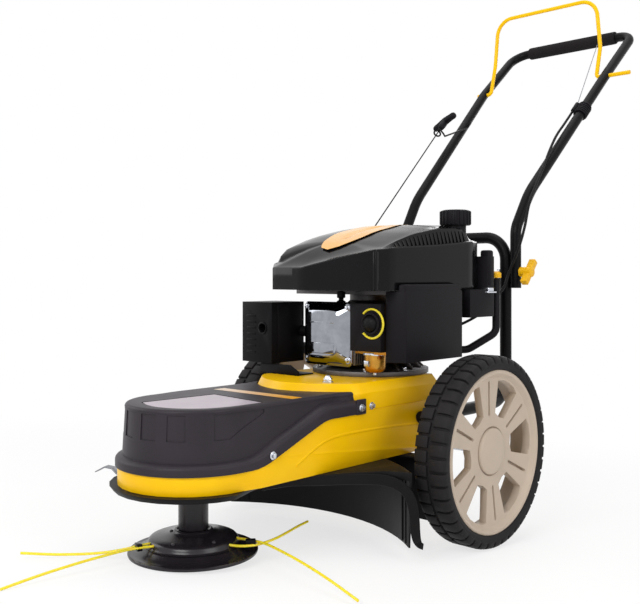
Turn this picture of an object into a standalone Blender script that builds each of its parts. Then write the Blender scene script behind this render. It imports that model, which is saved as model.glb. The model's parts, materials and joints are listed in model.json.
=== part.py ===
"""Petrol wheeled string trimmer, drawn piece by piece.

Everything is laid out on the level machine: the origin is the point under the cutting spindle in the
plane that the wheels stand on, -Y is forward, +X is the machine's left, and +Z is up. One empty then
turns the whole machine nose down about its axle, until it stands on its wheels and on its glide disc.
"""
from math import asin, atan2, cos, hypot, pi, radians, sin

import bmesh
import bpy
from mathutils import Matrix, Vector

# Clearances
SEAT_GAP = 0.0003
RUNNING_GAP = 0.0003
CUT_OVERRUN = 0.02

# Wheels and axle
WHEEL_RADIUS = 0.178
TYRE_WIDTH = 0.067
TYRE_SHOULDER = 0.008
TYRE_BEAD = 0.010
TYRE_HEIGHT = 0.026
RIM_RADIUS = WHEEL_RADIUS - TYRE_HEIGHT
RIM_WALL = 0.006
RIM_WIDTH = 0.058
WEB_OFFSET = 0.008
WEB_THICKNESS = 0.009
HUB_RADIUS = 0.024
HUB_CAP_RADIUS = 0.041
HUB_CAP_HEIGHT = 0.005
WHEEL_CENTRE_X = 0.2515
SPOKE_COUNT = 6
WHEEL_STEPS = 40
WINDOW_INNER = 0.056
WINDOW_INSET = 0.016
WINDOW_SHARE = 0.58
AXLE_RADIUS = 0.008
AXLE_Y = 0.488
AXLE_HEIGHT = 0.178

# Deck, platform and belt cover
SHEET = 0.0025
DECK_LOW = 0.166
DECK_HALF_WIDTH = 0.130
DECK_REAR = 0.515
NOSE_INSET = 0.006
NOSE_RADIUS = DECK_HALF_WIDTH - NOSE_INSET
NOSE_STEPS = 14
SEAM_HEIGHT = 0.261
COVER_EDGE_LOW = 0.196
COVER_EDGE_HIGH = 0.257
SLOPE_START = 0.035
SLOPE_END = 0.190
WALL_UNDER_COVER = 0.012
PLATFORM_SHOULDER = 0.292
PLATFORM_TOP = 0.310
PLATFORM_INSET = 0.009
PLATFORM_FRONT = 0.194
PLATFORM_SIDE_START = 0.282
PLATFORM_ROUNDING = 1.6
PLATFORM_STEPS = 14
COVER_TOP = 0.297
COVER_WALL = 0.0025
COVER_LIP_PROUD = 0.003
COVER_LIP_HEIGHT = 0.024
COVER_STEP = 0.007
COVER_REAR = 0.285
COVER_SCREW_Y = 0.055
COVER_SCREW_Z = 0.215
SCREW_HEAD_RADIUS = 0.005
SCREW_HEAD_HEIGHT = 0.004
SCREW_RADIUS = 0.0025

# Guard, flap and line cutter
GUARD_WALL = 0.003
GUARD_FRONT_RADIUS = 0.137
GUARD_RIM = 0.0145
GUARD_REAR_RADIUS = 0.370
GUARD_HALF_ANGLE = radians(39)
GUARD_STEPS = 16
SKIRT_LOW = 0.035
FLAP_Y = 0.424
FLAP_HALF_WIDTH = 0.205
FLAP_LOW = 0.043
FLAP_FLANGE = 0.028
FLAP_THICKNESS = 0.003
CUTTER_ANGLE = radians(207)
CUTTER_WIDTH = 0.016
CUTTER_REACH = 0.034

# Spindle and head
HOUSING_RADIUS = 0.025
HOUSING_LOW = 0.0835
HOUSING_FLANGE_RADIUS = 0.045
HOUSING_FLANGE = 0.006
BEARING_RADIUS = 0.0175
BEARING_WIDTH = 0.011
SHAFT_RADIUS = 0.0085
SHAFT_LOW = 0.0615
SHAFT_TOP = 0.258
DISC_RADIUS = 0.108
DISC_LOW = 0.0445
DISC_RIM = 0.006
HUB_STEP_RADIUS = 0.075
HEAD_HUB_RADIUS = 0.055
HEAD_HUB_LOW = 0.0607
LINE_HEIGHT = 0.0715
HEAD_PLATE_RADIUS = 0.062
COLLAR_RADIUS = 0.032
LINE_RADIUS = 0.002
LINE_SLOT = 0.0026

# Belt drive
BELT_Z = 0.236
BELT_WIDTH = 0.009
BELT_DEPTH = 0.008
SPINDLE_PULLEY_RADIUS = 0.045
ENGINE_PULLEY_RADIUS = 0.038
GROOVE_DEPTH = 0.007
PULLEY_WIDTH = 0.015
BELT_CLEARANCE = 0.0008
IDLER_RADIUS = 0.018
IDLER_Y = 0.235
IDLER_RELEASE = 0.006
IDLER_PIVOT = (0.092, 0.300)
IDLER_PIN_RADIUS = 0.004

# Engine
ENGINE_Y = 0.460
FLANGE_RADIUS = 0.118
FLANGE_THICKNESS = 0.009
CASE_RADIUS = 0.070
CASE_TOP = 0.470
CRANK_RADIUS = 0.0125
CYLINDER_FRONT = 0.352
CYLINDER_REAR = 0.388
CYLINDER_HALF_WIDTH = 0.052
FIN_DEPTH = 0.010
CYLINDER_LOW = 0.332
CYLINDER_HIGH = 0.448
VALVE_COVER_FRONT = 0.331
VALVE_COVER_X = -0.015
VALVE_COVER_HALF_WIDTH = 0.062
VALVE_COVER_LOW = 0.3285
VALVE_COVER_HIGH = 0.4535
SHROUD_HALF_WIDTH = 0.155
SHROUD_FRONT = 0.285
SHROUD_REAR = 0.640
SHROUD_LOW = 0.477
SHROUD_WALL = 0.0025
SHROUD_CROWN = [(SHROUD_FRONT, 0.538), (0.335, 0.560), (0.420, 0.592), (0.500, 0.610),
                (0.575, 0.612), (0.620, 0.602), (SHROUD_REAR, 0.588)]
SHROUD_SHOULDER_DROP = 0.035
SHROUD_SHOULDER_IN = 0.012
SHROUD_SHOULDER_RISE = 0.014
SHROUD_CROWN_DROP = 0.006
FLYWHEEL_RADIUS = 0.085
FLYWHEEL_LOW = 0.486
FLYWHEEL_HEIGHT = 0.022
DRUM_RADIUS = 0.035
DRUM_LOW = 0.522
DRUM_HEIGHT = 0.012
MUFFLER_BOX = ((-0.190, 0.280, 0.331), (-0.104, 0.372, 0.452))
PRIMER_BOX = ((0.0525, 0.336, 0.362), (0.128, 0.3515, 0.452))
PRIMER_CENTRE = (0.104, 0.415)
PRIMER_RADIUS = 0.017
PRIMER_TRAVEL = 0.006
FILTER_OUTER_X = 0.170
FILTER_INNER_X = 0.132
FILTER_FRONT = 0.345
FILTER_REAR = 0.540
FILTER_LOW = 0.3437
FILTER_HIGH = 0.4755
FILTER_PLATE = 0.003
BOWL_CENTRE = (0.085, 0.371)
BOWL_RADIUS = 0.0165
BOWL_LOW = 0.326
BOWL_HEIGHT = 0.032
BOWL_RIM = 0.0015
CARBURETTOR_LOW = 0.356
CARBURETTOR_HIGH = 0.402
CARBURETTOR_BEHIND_BOWL = 0.018
TANK_BOX = ((0.030, 0.575, 0.420), (0.165, 0.665, 0.4765))
TANK_REAR_FRONT = SHROUD_REAR + 0.0005
TANK_REAR_TOP = 0.545
TANK_WALL = 0.0025
FILLER = (0.118, 0.592)
NECK_RADIUS = 0.022
NECK_TOP = 0.618
CAP_RADIUS = 0.0325
CAP_SKIRT = 0.0095
CAP_ABOVE_NECK = 0.022
CAP_LOW = NECK_TOP - CAP_SKIRT
CAP_TOP = NECK_TOP + CAP_ABOVE_NECK
DIPSTICK = (0.158, 0.684)
DIPSTICK_TUBE_RADIUS = 0.008
DIPSTICK_TUBE_TOP = 0.500
DIPSTICK_TUBE_WALL = 0.0015
FILL_TUBE_START = (0.040, 0.538, 0.346)
FILL_TUBE_BEND = (0.120, 0.636, 0.350)
FILL_TUBE_RISE = 0.385
FILL_BOSS_LENGTH = 0.030

# Handle
TUBE_WALL = 0.0016
LOWER_TUBE_RADIUS = 0.0127
LOWER_LEG_X = 0.127
LOWER_FOOT_X = 0.1432
LOWER_FOOT_Y = 0.440
LOWER_FOOT_Z = 0.232
HANDLE_Y = 0.774
LOWER_TOP = 0.590
LOWER_BEND = 0.050
UPPER_TUBE_RADIUS = 0.012
UPPER_FOOT_Z = 0.478
UPPER_TOP_X = 0.176
UPPER_BEND = (0.778, 0.638)
UPPER_KNEE = (0.826, 0.690)
CROSSBAR = (1.331, 1.141)
CROSSBAR_BEND = 0.045
GRIP_HALF_LENGTH = 0.1275
GRIP_RADIUS = 0.0165
BOLT_Z = 0.513
BOLT_RADIUS = 0.004
BOLT_HOLE_RADIUS = 0.0043
NUT_RADIUS = 0.0075
NUT_HEIGHT = 0.006
KNOB_RADIUS = 0.011
KNOB_LENGTH = 0.028
KNOB_WING = 0.031
KNOB_WING_WIDTH = 0.013
BAIL_PIVOT = (1.162, 1.003)
BAIL_RADIUS = 0.005
BAIL_LEG_X = 0.153
BAIL_TOP_X = 0.142
BAIL_KNEE = (1.184, 1.084)
BAIL_TOP = (1.183, 1.207)
BAIL_CORNER = 0.045
BAIL_EAR_BEND = 0.010
BAIL_LONG_END = 0.240
BAIL_SHORT_END = 0.194
CLAMP_AT = (1.052, 0.902)
CLAMP_RADIUS = 0.016
CLAMP_LENGTH = 0.034
CLAMP_FERRULE_RADIUS = 0.0055
CLAMP_FERRULE_LENGTH = 0.030
BAIL_WIRE_RADIUS = 0.001
BAIL_WIRE_END = (0.1450, 1.184, 1.090)
CABLE_RADIUS = 0.003
CABLE_BRACKET = 0.016

# Recoil starter
ROPE_RADIUS = 0.0015
ROPE_START = (-0.128, 0.606, 0.594)
ROPE_END = (-0.1533, 0.924, 0.881)
STARTER_BOSS_RADIUS = 0.012
ROPE_OUTLET_RADIUS = 0.006
ROPE_OUTLET_LENGTH = 0.009
GRIP_BAR_HALF = 0.042
GRIP_BAR_RADIUS = 0.010
GRIP_BAR_TURN = radians(24)
GRIP_NECK_RADIUS = 0.009
GRIP_NECK_LENGTH = 0.030
GUIDE_WIRE_RADIUS = 0.0022
GUIDE_EYE_RADIUS = 0.0085
GUIDE_ALONG_ROPE = 0.022
GUIDE_FOOT_HEIGHT = 0.898

ROUND = 32
MEDIUM = 20
SMALL = 12
SHARP = radians(35)


# The control cable's way, from its clamp down the left tube and in to the engine
CABLE_ROUTE = [(0.1529, 1.0368, 0.901), (0.1525, 0.996, 0.866), (0.158, 0.945, 0.830), (0.165, 0.898, 0.787),
               (0.172, 0.862, 0.7515), (0.178, 0.8115, 0.700), (0.182, 0.778, 0.658),
               (0.182, 0.761, 0.612), (0.175, 0.7485, 0.5665), (0.152, 0.7475, 0.513),
               (0.145, 0.737, 0.480), (0.135, 0.717, 0.457), (0.122, 0.698, 0.431),
               (0.100, 0.6736, 0.410), (0.085, 0.630, 0.395), (0.070, 0.575, 0.386),
               (0.0655, 0.530, 0.384)]

# The scene and its finishes

def clear_scene():
    for item in list(bpy.data.objects):
        bpy.data.objects.remove(item, do_unlink=True)


def finish(name, colour, roughness, metallic=0.0):
    made = bpy.data.materials.new(name)
    made.use_nodes = True
    surface = made.node_tree.nodes["Principled BSDF"]
    surface.inputs["Base Color"].default_value = (*colour, 1.0)
    surface.inputs["Roughness"].default_value = roughness
    surface.inputs["Metallic"].default_value = metallic
    return made


clear_scene()
YELLOW_PAINT = finish("yellow_paint", (0.85, 0.50, 0.01), 0.3)
BLACK_PLASTIC = finish("black_plastic", (0.025, 0.024, 0.028), 0.45)
BLACK_GLOSS = finish("black_gloss", (0.015, 0.015, 0.017), 0.2)
BLACK_PAINT = finish("black_paint", (0.012, 0.012, 0.013), 0.3)
BLACK_RUBBER = finish("black_rubber", (0.02, 0.02, 0.02), 0.8)
TYRE_RUBBER = finish("tyre_rubber", (0.022, 0.022, 0.024), 0.85)
BEIGE_PLASTIC = finish("beige_plastic", (0.56, 0.47, 0.37), 0.45)
BRIGHT_STEEL = finish("bright_steel", (0.65, 0.65, 0.67), 0.25, 1.0)
GREY_STEEL = finish("grey_steel", (0.30, 0.30, 0.31), 0.4, 1.0)
CAST_ALUMINIUM = finish("cast_aluminium", (0.42, 0.42, 0.43), 0.5, 1.0)
CHROME_PLATE = finish("chrome_plate", (0.75, 0.76, 0.78), 0.12, 1.0)
BRASS_PLATE = finish("brass_plate", (0.70, 0.45, 0.15), 0.3, 1.0)
YELLOW_PLASTIC = finish("yellow_plastic", (0.80, 0.50, 0.01), 0.4)
YELLOW_NYLON = finish("yellow_nylon", (0.85, 0.68, 0.03), 0.35)
FOAM = finish("foam", (0.02, 0.02, 0.021), 0.9)

machine = bpy.data.objects.new("machine", None)
bpy.context.scene.collection.objects.link(machine)


def carrier(name, place):
    """An empty on a moving body's axis, placed in the level machine."""
    made = bpy.data.objects.new(name, None)
    bpy.context.scene.collection.objects.link(made)
    made.parent = machine
    made.location = place
    return made


# Shapes

def add_part(name, bm, surface, held_by=None):
    """Turns a mesh drawn in level machine coordinates into a named part of its carrier."""
    bmesh.ops.recalc_face_normals(bm, faces=bm.faces)
    parent = held_by or machine
    if held_by:
        bmesh.ops.translate(bm, verts=bm.verts, vec=-Vector(held_by.location))
    mesh = bpy.data.meshes.new(name)
    bm.to_mesh(mesh)
    bm.free()
    mesh.shade_smooth()
    mesh.set_sharp_from_angle(angle=SHARP)
    mesh.materials.append(surface)
    made = bpy.data.objects.new(name, mesh)
    bpy.context.scene.collection.objects.link(made)
    made.parent = parent
    return made


def add_cord(name, points, radius, surface):
    """A held cord: one round tube on a curve, in level machine coordinates."""
    curve = bpy.data.curves.new(name, "CURVE")
    curve.dimensions = "3D"
    line = curve.splines.new("POLY")
    line.points.add(len(points) - 1)
    for spot, point in zip(line.points, points):
        spot.co = (*point, 1.0)
    curve.bevel_depth = radius
    curve.bevel_resolution = 2
    curve.use_fill_caps = True
    curve.materials.append(surface)
    made = bpy.data.objects.new(name, curve)
    bpy.context.scene.collection.objects.link(made)
    made.parent = machine
    return made


def guide_shape(name, bm, part):
    """A cutter or an added shape: hidden, and carried where its part is."""
    made = add_part(name, bm, BLACK_PAINT, part.parent if part.parent != machine else None)
    made.hide_render = True
    made.display_type = "WIRE"
    return made


def combine(part, bm, operation="DIFFERENCE"):
    made = guide_shape(part.name + "_shape_" + str(len(part.modifiers)), bm, part)
    step = part.modifiers.new(operation.lower(), "BOOLEAN")
    step.operation = operation
    step.object = made
    step.solver = "EXACT"


def circle(radius, steps, centre=(0.0, 0.0), start=0.0):
    angles = [start + 2 * pi * i / steps for i in range(steps)]
    return [(centre[0] + radius * cos(a), centre[1] + radius * sin(a)) for a in angles]


def loft(loops, close_start=True, close_end=True):
    """Joins loops of equal count into one skin, capped at its ends."""
    bm = bmesh.new()
    rings = [[bm.verts.new(point) for point in loop] for loop in loops]
    count = len(rings[0])
    for low, high in zip(rings, rings[1:]):
        for i in range(count):
            j = (i + 1) % count
            bm.faces.new((low[i], low[j], high[j], high[i]))
    if close_start:
        bm.faces.new(rings[0])
    if close_end:
        bm.faces.new(rings[-1])
    return bm


def at_height(outline, z):
    return [(x, y, z) for x, y in outline]


def prism(outline, low, high):
    return loft([at_height(outline, low), at_height(outline, high)])


def prism_along_x(outline, low, high):
    """An outline of (y, z) points, drawn out along X."""
    return loft([[(x, y, z) for y, z in outline] for x in (low, high)])


def cylinder(centre, radius, low, high, steps=MEDIUM):
    return prism(circle(radius, steps, centre), low, high)


def cylinder_along_x(centre, radius, low, high, steps=SMALL):
    return prism_along_x(circle(radius, steps, centre), low, high)


def box(low, high):
    (x0, y0, z0), (x1, y1, z1) = low, high
    return prism([(x0, y0), (x1, y0), (x1, y1), (x0, y1)], z0, z1)


def turned(profile, steps=ROUND, ring=False):
    """Spins (radius, height) points about Z: open at the axis, or a closed loop where ring is set."""
    bm = bmesh.new()
    points = [bm.verts.new((radius, 0.0, z)) for radius, z in profile]
    edges = [bm.edges.new(pair) for pair in zip(points, points[1:])]
    if ring:
        edges.append(bm.edges.new((points[-1], points[0])))
    bmesh.ops.spin(bm, geom=points + edges, axis=(0, 0, 1), cent=(0, 0, 0), angle=2 * pi,
                   steps=steps, use_duplicate=False)
    bmesh.ops.remove_doubles(bm, verts=bm.verts, dist=0.000001)
    return bm


def move(bm, vector):
    bmesh.ops.translate(bm, verts=bm.verts, vec=vector)
    return bm


def turn_to_x(bm, side=1):
    """Lays a shape drawn about Z along X, its top pointing to the given side."""
    bmesh.ops.transform(bm, matrix=Matrix.Rotation(side * pi / 2, 4, "Y"), verts=bm.verts)
    return bm


def bevelled(bm, width, segments=2, low=-1.0):
    """Rounds the sharp edges whose lower end lies above a height."""
    sharp = [e for e in bm.edges if e.calc_face_angle(0.0) > SHARP
             and min(v.co.z for v in e.verts) > low]
    bmesh.ops.bevel(bm, geom=sharp, offset=width, segments=segments, profile=0.5, affect="EDGES")
    return bm


def offset(outline, distance):
    """Moves each side of a closed outline outward by a distance."""
    area = sum(a[0] * b[1] - b[0] * a[1] for a, b in zip(outline, outline[1:] + outline[:1]))
    turn = 1.0 if area > 0 else -1.0
    moved = []
    for before, here, after in zip(outline[-1:] + outline[:-1], outline, outline[1:] + outline[:1]):
        first = (Vector(here) - Vector(before)).normalized()
        second = (Vector(after) - Vector(here)).normalized()
        normal_a = Vector((first.y, -first.x)) * turn
        normal_b = Vector((second.y, -second.x)) * turn
        middle = (normal_a + normal_b).normalized()
        reach = distance / max(middle.dot(normal_a), 0.4)
        moved.append((here[0] + middle.x * reach, here[1] + middle.y * reach))
    return moved


def rounded_path(points, radii, steps=5):
    """A path through corner points, each inner corner turned with its own radius."""
    path = [Vector(points[0])]
    for before, here, after, radius in zip(points, points[1:], points[2:], radii):
        here = Vector(here)
        to_before = (Vector(before) - here).normalized()
        to_after = (Vector(after) - here).normalized()
        half = to_before.angle(to_after) / 2
        if radius <= 0 or abs(half - pi / 2) < 0.01:
            path.append(here)
            continue
        cut = radius / abs(sin(half) / cos(half))
        centre = here + (to_before + to_after).normalized() * (radius / sin(half))
        start = (here + to_before * cut - centre).normalized()
        end = (here + to_after * cut - centre).normalized()
        for i in range(steps + 1):
            path.append(centre + start.slerp(end, i / steps) * radius)
    path.append(Vector(points[-1]))
    return path


def swept(path, radius, sides, bore=0.0):
    """A round tube along a path, solid or with an open bore."""
    path = [Vector(p) for p in path]
    tangents = []
    for i in range(len(path)):
        ahead = path[min(i + 1, len(path) - 1)]
        behind = path[max(i - 1, 0)]
        tangents.append((ahead - behind).normalized())
    side = tangents[0].orthogonal().normalized()
    frames = []
    for before, here in zip([tangents[0]] + tangents, tangents):
        side = before.rotation_difference(here) @ side
        side = (side - here * side.dot(here)).normalized()
        frames.append((side, here.cross(side)))

    def ring(index, size):
        across, upward = frames[index]
        return [path[index] + (across * cos(a) + upward * sin(a)) * size
                for a in (2 * pi * k / sides for k in range(sides))]

    outer = [ring(i, radius) for i in range(len(path))]
    if not bore:
        return loft(outer)
    inner = [ring(i, bore) for i in reversed(range(len(path)))]
    return loft(outer + inner + [outer[0]], False, False)


def weld(bm):
    bmesh.ops.remove_doubles(bm, verts=bm.verts, dist=0.000001)
    return bm


def mirrored(points):
    return [(-x, y, z) for x, y, z in reversed(points)]


# Outlines that several parts share

def nose_outline(grow=0.0, rear=DECK_REAR):
    half = DECK_HALF_WIDTH + grow
    radius = NOSE_RADIUS + grow
    arc = [(radius * cos(a), radius * sin(a))
           for a in (-pi * i / NOSE_STEPS for i in range(NOSE_STEPS + 1))]
    right = [(half, rear), (half, SLOPE_END), (half, SLOPE_START)]
    left = [(-x, y) for x, y in reversed(right)]
    return right + arc + left


def cover_edge(y):
    """Height of the belt cover's lower edge: low at the nose, then up a slope to the side arm."""
    share = min(max((y - SLOPE_START) / (SLOPE_END - SLOPE_START), 0.0), 1.0)
    return COVER_EDGE_LOW + share * (COVER_EDGE_HIGH - COVER_EDGE_LOW)


def platform_outline():
    """The front is an arch that meets the deck's sides behind the belt cover's arms."""
    half, depth = DECK_HALF_WIDTH, PLATFORM_SIDE_START - PLATFORM_FRONT
    front = []
    for i in range(PLATFORM_STEPS + 1):
        across = cos(pi * i / PLATFORM_STEPS)
        reach = max(1 - abs(across) ** PLATFORM_ROUNDING, 0) ** (1 / PLATFORM_ROUNDING)
        front.append((half * across, PLATFORM_SIDE_START - depth * reach))
    return [(half, DECK_REAR)] + front + [(-half, DECK_REAR)]


def housing_cutter():
    return cylinder((0, 0), HOUSING_RADIUS + RUNNING_GAP, DECK_LOW - CUT_OVERRUN,
                    DECK_LOW + CUT_OVERRUN, ROUND)


def screw_cutter():
    return cylinder_along_x((COVER_SCREW_Y, COVER_SCREW_Z), SCREW_RADIUS + RUNNING_GAP,
                            -DECK_HALF_WIDTH - CUT_OVERRUN, DECK_HALF_WIDTH + CUT_OVERRUN, 10)


# Chassis

def make_deck():
    outer = nose_outline()
    inner = offset(outer, -SHEET)
    top = [min(cover_edge(y) + WALL_UNDER_COVER, SEAM_HEIGHT) for _, y in outer]
    loops = [at_height(outer, DECK_LOW),
             [(x, y, z) for (x, y), z in zip(outer, top)],
             [(x, y, z) for (x, y), z in zip(inner, top)],
             at_height(inner, DECK_LOW + SHEET)]
    part = add_part("chassis_deck", loft(loops), YELLOW_PAINT)
    combine(part, housing_cutter())
    combine(part, cylinder_along_x((AXLE_Y, AXLE_HEIGHT), AXLE_RADIUS + RUNNING_GAP,
                                   -DECK_HALF_WIDTH - CUT_OVERRUN, DECK_HALF_WIDTH + CUT_OVERRUN, 16))
    combine(part, screw_cutter())


def make_platform():
    wide = platform_outline()
    narrow = offset(wide, -PLATFORM_INSET)
    skin = SHEET
    loops = [at_height(offset(narrow, -skin), PLATFORM_TOP - skin),
             at_height(offset(wide, -skin), PLATFORM_SHOULDER - skin / 2),
             at_height(offset(wide, -skin), SEAM_HEIGHT + SEAT_GAP),
             at_height(wide, SEAM_HEIGHT + SEAT_GAP),
             at_height(wide, PLATFORM_SHOULDER),
             at_height(narrow, PLATFORM_TOP)]
    part = add_part("engine_platform", loft(loops), YELLOW_PAINT)
    combine(part, cylinder((0, ENGINE_Y), CRANK_RADIUS * 1.6, SEAM_HEIGHT, PLATFORM_TOP + CUT_OVERRUN))


def cover_loops(grow, floor, lip, ceiling, top_inset):
    """Loops of the belt cover's skin: a lip that follows the sloping edge, then an inset wall."""
    wide = nose_outline(grow, COVER_REAR + grow)
    step = nose_outline(grow - COVER_STEP, COVER_REAR + grow)
    top = nose_outline(grow - COVER_STEP - top_inset, COVER_REAR + grow)
    return [at_height(wide, floor),
            [(x, y, cover_edge(y) + lip) for x, y in wide],
            [(x, y, cover_edge(y) + lip + 0.002) for x, y in step],
            at_height(step, ceiling - top_inset),
            at_height(top, ceiling)]


def make_belt_cover():
    proud = SEAT_GAP + COVER_LIP_PROUD
    floor = COVER_EDGE_LOW - 0.006
    part = add_part("belt_cover", loft(cover_loops(proud, floor, COVER_LIP_HEIGHT, COVER_TOP, 0.004)),
                    BLACK_PLASTIC)
    hollow = cover_loops(SEAT_GAP, floor - CUT_OVERRUN, COVER_LIP_HEIGHT - COVER_WALL,
                         COVER_TOP - COVER_WALL, 0.003)
    combine(part, loft(hollow))
    reach = DECK_HALF_WIDTH + CUT_OVERRUN
    under = [(-NOSE_RADIUS - CUT_OVERRUN, COVER_EDGE_LOW), (SLOPE_START, COVER_EDGE_LOW),
             (SLOPE_END, COVER_EDGE_HIGH), (COVER_REAR + CUT_OVERRUN, COVER_EDGE_HIGH),
             (COVER_REAR + CUT_OVERRUN, 0.1), (-NOSE_RADIUS - CUT_OVERRUN, 0.1)]
    combine(part, prism_along_x(under, -reach, reach))
    keep_clear = offset(platform_outline(), SEAT_GAP)
    combine(part, prism(keep_clear, COVER_EDGE_LOW, COVER_TOP + CUT_OVERRUN))
    combine(part, screw_cutter())


def make_cover_screws():
    inner = DECK_HALF_WIDTH - SHEET - 0.004
    seat = DECK_HALF_WIDTH + 2 * SEAT_GAP + COVER_LIP_PROUD
    profile = [(0, inner), (SCREW_RADIUS, inner), (SCREW_RADIUS, seat), (SCREW_HEAD_RADIUS, seat),
               (SCREW_HEAD_RADIUS, seat + SCREW_HEAD_HEIGHT * 0.7),
               (SCREW_HEAD_RADIUS * 0.7, seat + SCREW_HEAD_HEIGHT), (0, seat + SCREW_HEAD_HEIGHT)]
    for name, side in (("cover_screw_left", 1), ("cover_screw_right", -1)):
        shape = move(turn_to_x(turned(profile, SMALL), side), (0, COVER_SCREW_Y, COVER_SCREW_Z))
        add_part(name, shape, BRIGHT_STEEL)


def guard_outline():
    """Half-round nose, drawn-in waist, then flared wings that end on the rear arc."""
    nose = [(GUARD_FRONT_RADIUS * cos(a), GUARD_FRONT_RADIUS * sin(a))
            for a in (radians(-10 - 160 * i / 12) for i in range(13))]
    waist = [(0.240, 0.283), (0.222, 0.281), (0.192, 0.260), (0.160, 0.211), (0.132, 0.159),
             (0.108, 0.118), (0.098, 0.080), (0.112, 0.036)]
    left = [(-x, y) for x, y in reversed(waist)]
    rear = []
    for i in range(GUARD_STEPS + 1):
        a = -GUARD_HALF_ANGLE + 2 * GUARD_HALF_ANGLE * i / GUARD_STEPS
        rear.append((GUARD_REAR_RADIUS * sin(a), GUARD_REAR_RADIUS * cos(a)))
    return waist + nose + left + rear


def make_guard():
    outer = guard_outline()
    inner = offset(outer, -GUARD_WALL)
    top = DECK_LOW - SEAT_GAP
    rear_start = len(outer) - GUARD_STEPS - 1

    def foot(index):
        return SKIRT_LOW if index >= rear_start else top - GUARD_RIM

    loops = [at_height(inner, top - GUARD_WALL),
             [(x, y, foot(i)) for i, (x, y) in enumerate(inner)],
             [(x, y, foot(i)) for i, (x, y) in enumerate(outer)],
             at_height(outer, top)]
    part = add_part("guard_shield", loft(loops), BLACK_PLASTIC)
    combine(part, housing_cutter())


def make_flap():
    top = DECK_LOW - SEAT_GAP
    back = FLAP_Y + FLAP_THICKNESS
    profile = [(FLAP_Y - FLAP_FLANGE, top), (back, top), (back, FLAP_LOW), (FLAP_Y, FLAP_LOW),
               (FLAP_Y, top - FLAP_THICKNESS), (FLAP_Y - FLAP_FLANGE, top - FLAP_THICKNESS)]
    add_part("rear_flap", prism_along_x(profile, -FLAP_HALF_WIDTH, FLAP_HALF_WIDTH), BLACK_RUBBER)


def make_line_cutter():
    low = DECK_LOW
    start = NOSE_RADIUS + SEAT_GAP
    profile = [(start, low), (start + 0.014, low), (start + 0.020, low + 0.004),
               (start + CUTTER_REACH, low - 0.010), (start + CUTTER_REACH + 0.001, low - 0.008),
               (start + 0.020, low + 0.0062), (start + 0.013, low + 0.002), (start, low + 0.002)]
    half = CUTTER_WIDTH / 2
    shape = loft([[(r, side, z) for r, z in profile] for side in (-half, half)])
    bmesh.ops.transform(shape, matrix=Matrix.Rotation(CUTTER_ANGLE, 4, "Z"), verts=shape.verts)
    add_part("line_cutter", shape, GREY_STEEL)


# Wheels

def rim_window_outline(index):
    middle = 2 * pi * (index + 0.5) / SPOKE_COUNT
    half = WINDOW_SHARE * pi / SPOKE_COUNT
    outer = RIM_RADIUS - WINDOW_INSET
    narrow = half * 0.62
    corners = [(WINDOW_INNER, -narrow), (outer, -half), (outer + 0.003, 0.0), (outer, half),
               (WINDOW_INNER, narrow)]
    return [(r * cos(middle + a), r * sin(middle + a)) for r, a in corners]


def make_wheel(side, name):
    held = carrier("wheel_axis_" + name, (side * WHEEL_CENTRE_X, AXLE_Y, AXLE_HEIGHT))

    def place(bm):
        return move(turn_to_x(bm, side), held.location)

    half = TYRE_WIDTH / 2
    bead = RIM_RADIUS + SEAT_GAP
    seat = RIM_WIDTH / 2
    tyre = [(bead, -seat), (bead + TYRE_BEAD, -half), (WHEEL_RADIUS - TYRE_SHOULDER, -half),
            (WHEEL_RADIUS, -half + 1.4 * TYRE_SHOULDER), (WHEEL_RADIUS, half - 1.4 * TYRE_SHOULDER),
            (WHEEL_RADIUS - TYRE_SHOULDER, half), (bead + TYRE_BEAD, half), (bead, seat)]
    add_part("tyre_" + name, place(turned(tyre, WHEEL_STEPS, True)), TYRE_RUBBER, held)

    bore = AXLE_RADIUS + RUNNING_GAP
    web_top = WEB_OFFSET + WEB_THICKNESS
    inner = RIM_RADIUS - RIM_WALL
    rim = [(bore, -seat), (HUB_RADIUS, -seat), (HUB_RADIUS, WEB_OFFSET), (inner, WEB_OFFSET),
           (inner, -seat), (RIM_RADIUS, -seat), (RIM_RADIUS, seat), (inner, seat),
           (inner - 0.003, web_top), (bore, web_top)]
    part = add_part("rim_" + name, place(turned(rim, WHEEL_STEPS, True)), BEIGE_PLASTIC, held)
    for index in range(SPOKE_COUNT):
        window = prism(rim_window_outline(index), WEB_OFFSET - 0.004, web_top + 0.004)
        combine(part, place(window))

    low = web_top + SEAT_GAP
    cap = [(0, low), (HUB_CAP_RADIUS, low), (HUB_CAP_RADIUS, low + HUB_CAP_HEIGHT * 0.5),
           (HUB_CAP_RADIUS - 0.005, low + HUB_CAP_HEIGHT), (0, low + HUB_CAP_HEIGHT * 1.1)]
    add_part("hub_cap_" + name, place(turned(cap, ROUND)), BEIGE_PLASTIC, held)


def make_axle():
    end = WHEEL_CENTRE_X + WEB_OFFSET + WEB_THICKNESS - 0.001
    add_part("axle", cylinder_along_x((AXLE_Y, AXLE_HEIGHT), AXLE_RADIUS, -end, end, 16), BRIGHT_STEEL)


# Belt drive and spindle

def groove_radius(radius):
    return radius - GROOVE_DEPTH


def pulley_profile(radius, bore):
    half = PULLEY_WIDTH / 2
    root = groove_radius(radius)
    lip = BELT_WIDTH / 2 + 0.0006
    return [(bore, BELT_Z - half), (radius, BELT_Z - half), (radius, BELT_Z - lip),
            (root, BELT_Z - lip), (root, BELT_Z + lip), (radius, BELT_Z + lip),
            (radius, BELT_Z + half), (bore, BELT_Z + half)]


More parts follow.
